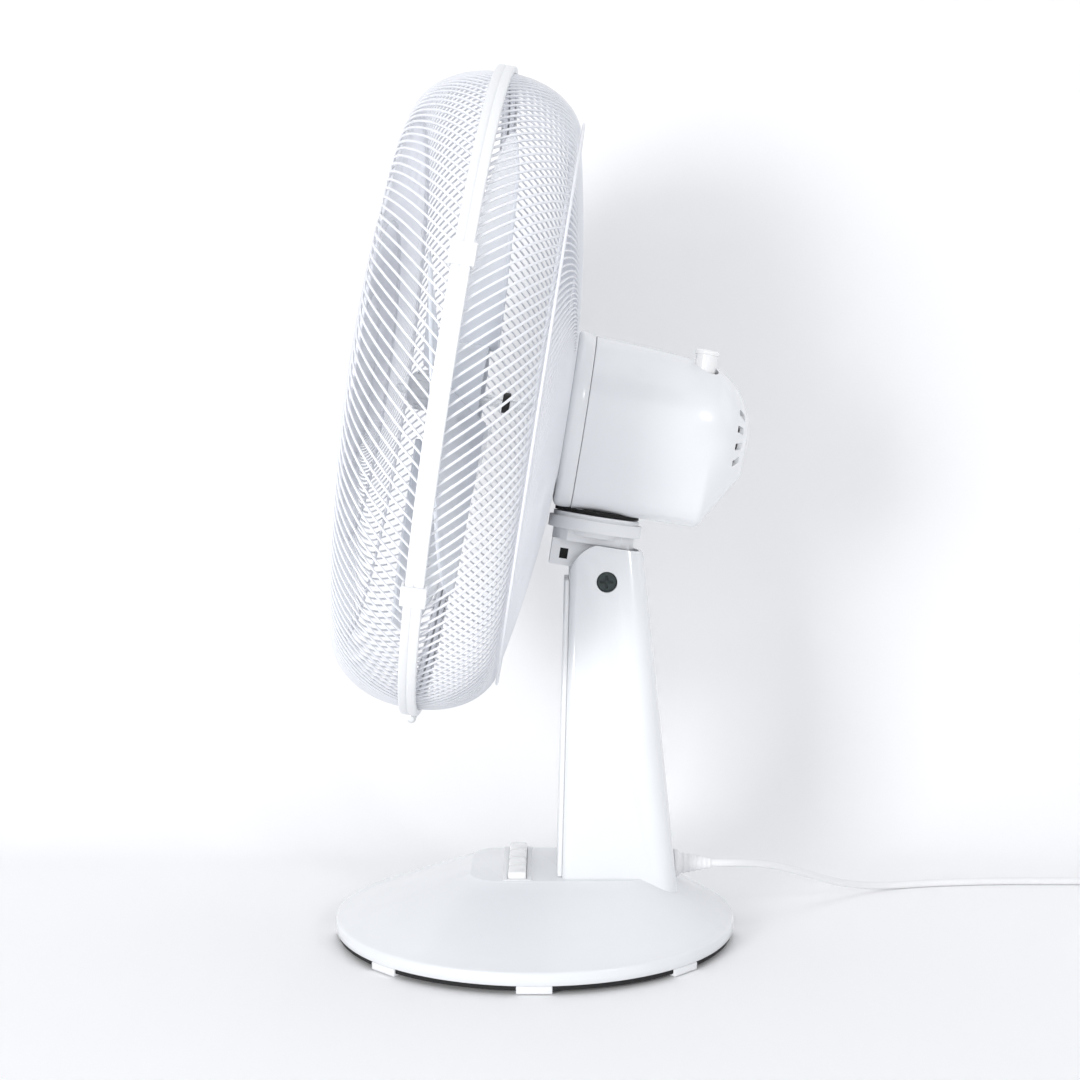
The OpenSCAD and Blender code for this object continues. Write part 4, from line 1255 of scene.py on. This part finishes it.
class FAN_OT_badge(bpy.types.Operator):
    """Makes the plain round plate in the middle of the front grille"""
    bl_idname = "desk_fan.badge"
    bl_label = "Badge"

    def execute(self, context):
        low, high = span("front_badge", AXIAL)
        radius = high.x
        deep = high.z - low.z
        profile = [(0, high.z), (radius - 1.5 * MM, high.z), (radius, high.z - deep * 0.35),
                   (radius - 0.6 * MM, low.z + deep * 0.3), (radius - 3 * MM, low.z + deep * 0.1),
                   (radius - 5 * MM, low.z + deep * 0.42), (radius - 9 * MM, low.z + deep * 0.3),
                   (radius * 0.5, low.z + deep * 0.06), (0, low.z)]
        shape = turned(rounded(profile, 0.5 * MM, 3), 128)
        write_piece("centre_badge", shape, key_plastic(), "head", ("front_badge",), AXIAL, 40)
        return {"FINISHED"}


# ---- Band ----

class FAN_OT_band(bpy.types.Operator):
    """Makes the band that joins the grilles, its clips, hook and clamp"""
    bl_idname = "desk_fan.band"
    bl_label = "Band"

    def execute(self, context):
        outer = 216 * MM
        inner = 211.9 * MM
        groove = 212.8 * MM
        half = 5.5 * MM
        flange = 1.5 * MM
        profile = [(inner, -half), (outer - 0.5 * MM, -half), (outer, -half + 0.7 * MM),
                   (outer, -0.9 * MM), (outer - 0.45 * MM, -0.35 * MM), (outer - 0.45 * MM, 0.35 * MM),
                   (outer, 0.9 * MM), (outer, half - 0.7 * MM), (outer - 0.5 * MM, half), (inner, half),
                   (inner, half - flange), (groove, half - flange), (groove, -half + flange),
                   (inner, -half + flange)]
        shape = turned(rounded(profile, 0.35 * MM, 2), 256)
        hook = bmesh.new()
        add_block(hook, (-4 * MM, -221 * MM, -3 * MM), (4 * MM, -214.8 * MM, -0.6 * MM),
                  bevel=0.7 * MM)
        add_block(hook, (-4 * MM, -221 * MM, -3 * MM), (4 * MM, -219.4 * MM, 2.4 * MM),
                  bevel=0.6 * MM)
        lugs = bmesh.new()
        for side in (-1, 1):
            near, far = sorted((side * 1 * MM, side * 4 * MM))
            add_block(lugs, (near, 213.9 * MM, -4 * MM), (far, 225 * MM, 4 * MM), bevel=0.8 * MM)
        band = write_piece("grille_band", join_shapes(shape, hook, lugs), satin_white(), "head",
                           ("grille_ring",), AXIAL, 40)
        split = bmesh.new()
        add_block(split, (-1 * MM, 200 * MM, -8 * MM), (1 * MM, 218 * MM, 8 * MM))
        bore = Matrix.Translation((0, 220.5 * MM, 0)) @ Matrix.Rotation(pi / 2, 4, "Y")
        add_bar(split, 1.7 * MM, -8 * MM, 8 * MM, bore, 24)
        cut(band, split, AXIAL)
        band.data.shade_smooth()
        band.data.set_sharp_from_angle(angle=radians(45))
        eased_copy("band_clips", "grille_clips", satin_white(), "head", 0.6 * MM)
        eased_copy("clamp_screw", "ring_screw", zinc(), "head", 0.3 * MM)
        eased_copy("grille_hand_nut", "grille_nut", satin_white(), "head", 0.6 * MM)
        return {"FINISHED"}


# ---- Fan ----

def blade_shape(turn):
    """One blade: a cambered, twisted paddle with a round outer end, pressed from a flat grid."""
    shape = bmesh.new()
    bmesh.ops.create_grid(shape, x_segments=24, y_segments=20, size=0.5)
    root, tip = 33 * MM, 185 * MM
    rise = 25 * MM
    for vertex in shape.verts:
        across, along = vertex.co.x * 2, vertex.co.y + 0.5
        corner = 1 - 0.16 * abs(across) ** 3 - 0.05 * (1 + across) * 0.5
        radius = root + (tip - root) * along * corner
        share = (radius - root) / (tip - root)
        width = radians(30 + 13 * sin(pi * 0.5 * min(1.0, share * 1.5)) - 3 * share ** 4)
        lead = radians(16) * share
        angle = turn + across * width + lead
        camber = 3.2 * MM * (1 - across * across) * share
        lift = rise * (0.92 - 0.12 * share) * across
        vertex.co = Vector((radius * cos(angle), radius * sin(angle), -3 * MM + lift + camber))
    bmesh.ops.recalc_face_normals(shape, faces=shape.faces)
    return shape


class FAN_OT_fan(bpy.types.Operator):
    """Makes the three-blade fan and its spinner nut"""
    bl_idname = "desk_fan.fan"
    bl_label = "Fan"

    def execute(self, context):
        blades = join_shapes(*[blade_shape(2 * pi * i / sizes().blades)
                               for i in range(sizes().blades)])
        material = blade_plastic()
        piece = write_piece("fan_blades", blades, material, "rotor", (), AXIAL, 60)
        wall = piece.modifiers.new("wall", "SOLIDIFY")
        wall.thickness = 2.2 * MM
        wall.offset = 0
        bake_modifiers(piece)
        ease_edges(piece, 0.9 * MM, 3, 60)
        hub = 36 * MM
        wall_t = 2.5 * MM
        profile = [(4.1 * MM, -20 * MM), (hub - 7 * MM, -20 * MM), (hub - 2 * MM, -17.5 * MM),
                   (hub, -12 * MM), (hub, 14 * MM), (hub - wall_t, 14 * MM),
                   (hub - wall_t, -12 * MM), (hub - 9 * MM, -17.5 * MM), (9 * MM, -17.5 * MM),
                   (9 * MM, 12 * MM), (4.1 * MM, 12 * MM)]
        shape = turned(rounded(profile, 1.2 * MM, 4), 96)
        write_piece("fan_hub", shape, material, "rotor", ("fan_blade",), AXIAL, 45)
        profile = [(4.1 * MM, -20.3 * MM), (13 * MM, -20.3 * MM), (13 * MM, -26 * MM),
                   (11.5 * MM, -33 * MM), (8 * MM, -36 * MM), (4.1 * MM, -36 * MM)]
        nut = turned(rounded(profile, 1.2 * MM, 4), 64)
        for i in range(12):
            turn = Matrix.Rotation(2 * pi * i / 12, 4, "Z")
            nut = join_shapes(nut, rib(turn))
        write_piece("spinner_nut", nut, satin_white(), "rotor", ("blade_nut",), AXIAL,
                    45)
        return {"FINISHED"}


def rib(place):
    """A grip rib of the spinner nut."""
    shape = bmesh.new()
    add_block(shape, (12.2 * MM, -0.8 * MM, -31 * MM), (13.6 * MM, 0.8 * MM, -21.5 * MM), place,
              bevel=0.4 * MM, segments=2)
    return shape


# ---- Works behind the covers ----

def dress(nodes, material):
    """Gives CAD nodes that stay as they are their finish."""
    for node in nodes:
        mesh = frame["nodes"][node].data
        mesh.materials.clear()
        mesh.materials.append(material)


class FAN_OT_works(bpy.types.Operator):
    """Finishes the screws, motor, gearbox and electrical pieces, and makes a thrust washer"""
    bl_idname = "desk_fan.works"
    bl_label = "Works"

    def execute(self, context):
        dress(("base_screws", "column_screws", "spigot_screw", "housing_screws", "motor_bolts",
               "drive_pin", "link_anchor_pin", "crank", "tilt_washers"), zinc())
        dress(("motor_shaft",), metal("ground_shaft", (0.78, 0.79, 0.80), 0.16, 900.0, 0.1))
        profile = [(4.05 * MM, 28 * MM), (7 * MM, 28 * MM), (7 * MM, 33 * MM), (4.05 * MM, 33 * MM)]
        write_piece("thrust_washer", turned(rounded(profile, 0.5 * MM, 3), 48),
                    dull("black_nylon", (0.012, 0.012, 0.013), 0.5), "rotor", (),
                    AXIAL, 40)
        dress(("swivel_bracket", "link_rod"), metal("dark_pressing", (0.10, 0.10, 0.105), 0.38))
        dress(("stator_core", "rotor_core"),
              banded("lamination_stack", (0.22, 0.22, 0.24), 1.0 * MM, 1, 0.1 * MM, 0.9, 0.45))
        dress(("windings",),
              banded("enamelled_wire", (0.60, 0.22, 0.06), 0.8 * MM, 1, 0.2 * MM, 0.8, 0.3))
        dress(("front_bearing", "rear_bearing", "motor_worm"),
              metal("sintered_bronze", (0.52, 0.36, 0.17), 0.4, 700.0, 0.4))
        dress(("front_bracket", "rear_bracket"),
              metal("cast_alloy", (0.55, 0.56, 0.57), 0.45, 420.0, 0.35))
        dress(("gearbox_case", "worm_wheel", "neck_bush", "switch_body"),
              moulded_plastic("natural_acetal", (0.72, 0.68, 0.58), gloss=0.42))
        dress(("run_capacitor",), moulded_plastic("capacitor_case", (0.48, 0.49, 0.50), gloss=0.35))
        return {"FINISHED"}


# ---- Add-on ----

STEPS = (
    ("stage", "Stage"), ("cord", "Cord"), ("base", "Base"), ("keys", "Keys"),
    ("column", "Column"), ("neck", "Neck"), ("motor", "Motor"), ("grilles", "Grilles"),
    ("band", "Band"), ("badge", "Badge"), ("fan", "Fan"), ("works", "Works"))


class FAN_PT_panel(bpy.types.Panel):
    """Sizes and colours of the fan, and a button for each of its pieces"""
    bl_idname = "FAN_PT_panel"
    bl_label = "Desk Fan"
    bl_space_type = "VIEW_3D"
    bl_region_type = "UI"
    bl_category = "Desk Fan"

    def draw(self, context):
        layout = self.layout
        for group in (context.scene.fan_sizes, context.scene.fan_colours):
            box = layout.box()
            for name in group.bl_rna.properties.keys():
                if name not in ("rna_type", "name"):
                    box.prop(group, name)
        for name, label in STEPS:
            layout.operator("desk_fan." + name, text=label)


CLASSES = (
    FanSizes, FanColours, FAN_OT_stage, FAN_OT_cord, FAN_OT_base, FAN_OT_keys, FAN_OT_column,
    FAN_OT_neck, FAN_OT_motor, FAN_OT_grilles, FAN_OT_band, FAN_OT_badge, FAN_OT_fan, FAN_OT_works,
    FAN_PT_panel)


def register():
    for item in CLASSES:
        bpy.utils.register_class(item)
    bpy.types.Scene.fan_sizes = bpy.props.PointerProperty(type=FanSizes)
    bpy.types.Scene.fan_colours = bpy.props.PointerProperty(type=FanColours)


def unregister():
    del bpy.types.Scene.fan_colours
    del bpy.types.Scene.fan_sizes
    for item in reversed(CLASSES):
        bpy.utils.unregister_class(item)


def main():
    register()
    for name, _label in STEPS:
        getattr(bpy.ops.desk_fan, name)()


if __name__ == "__main__":
    main()
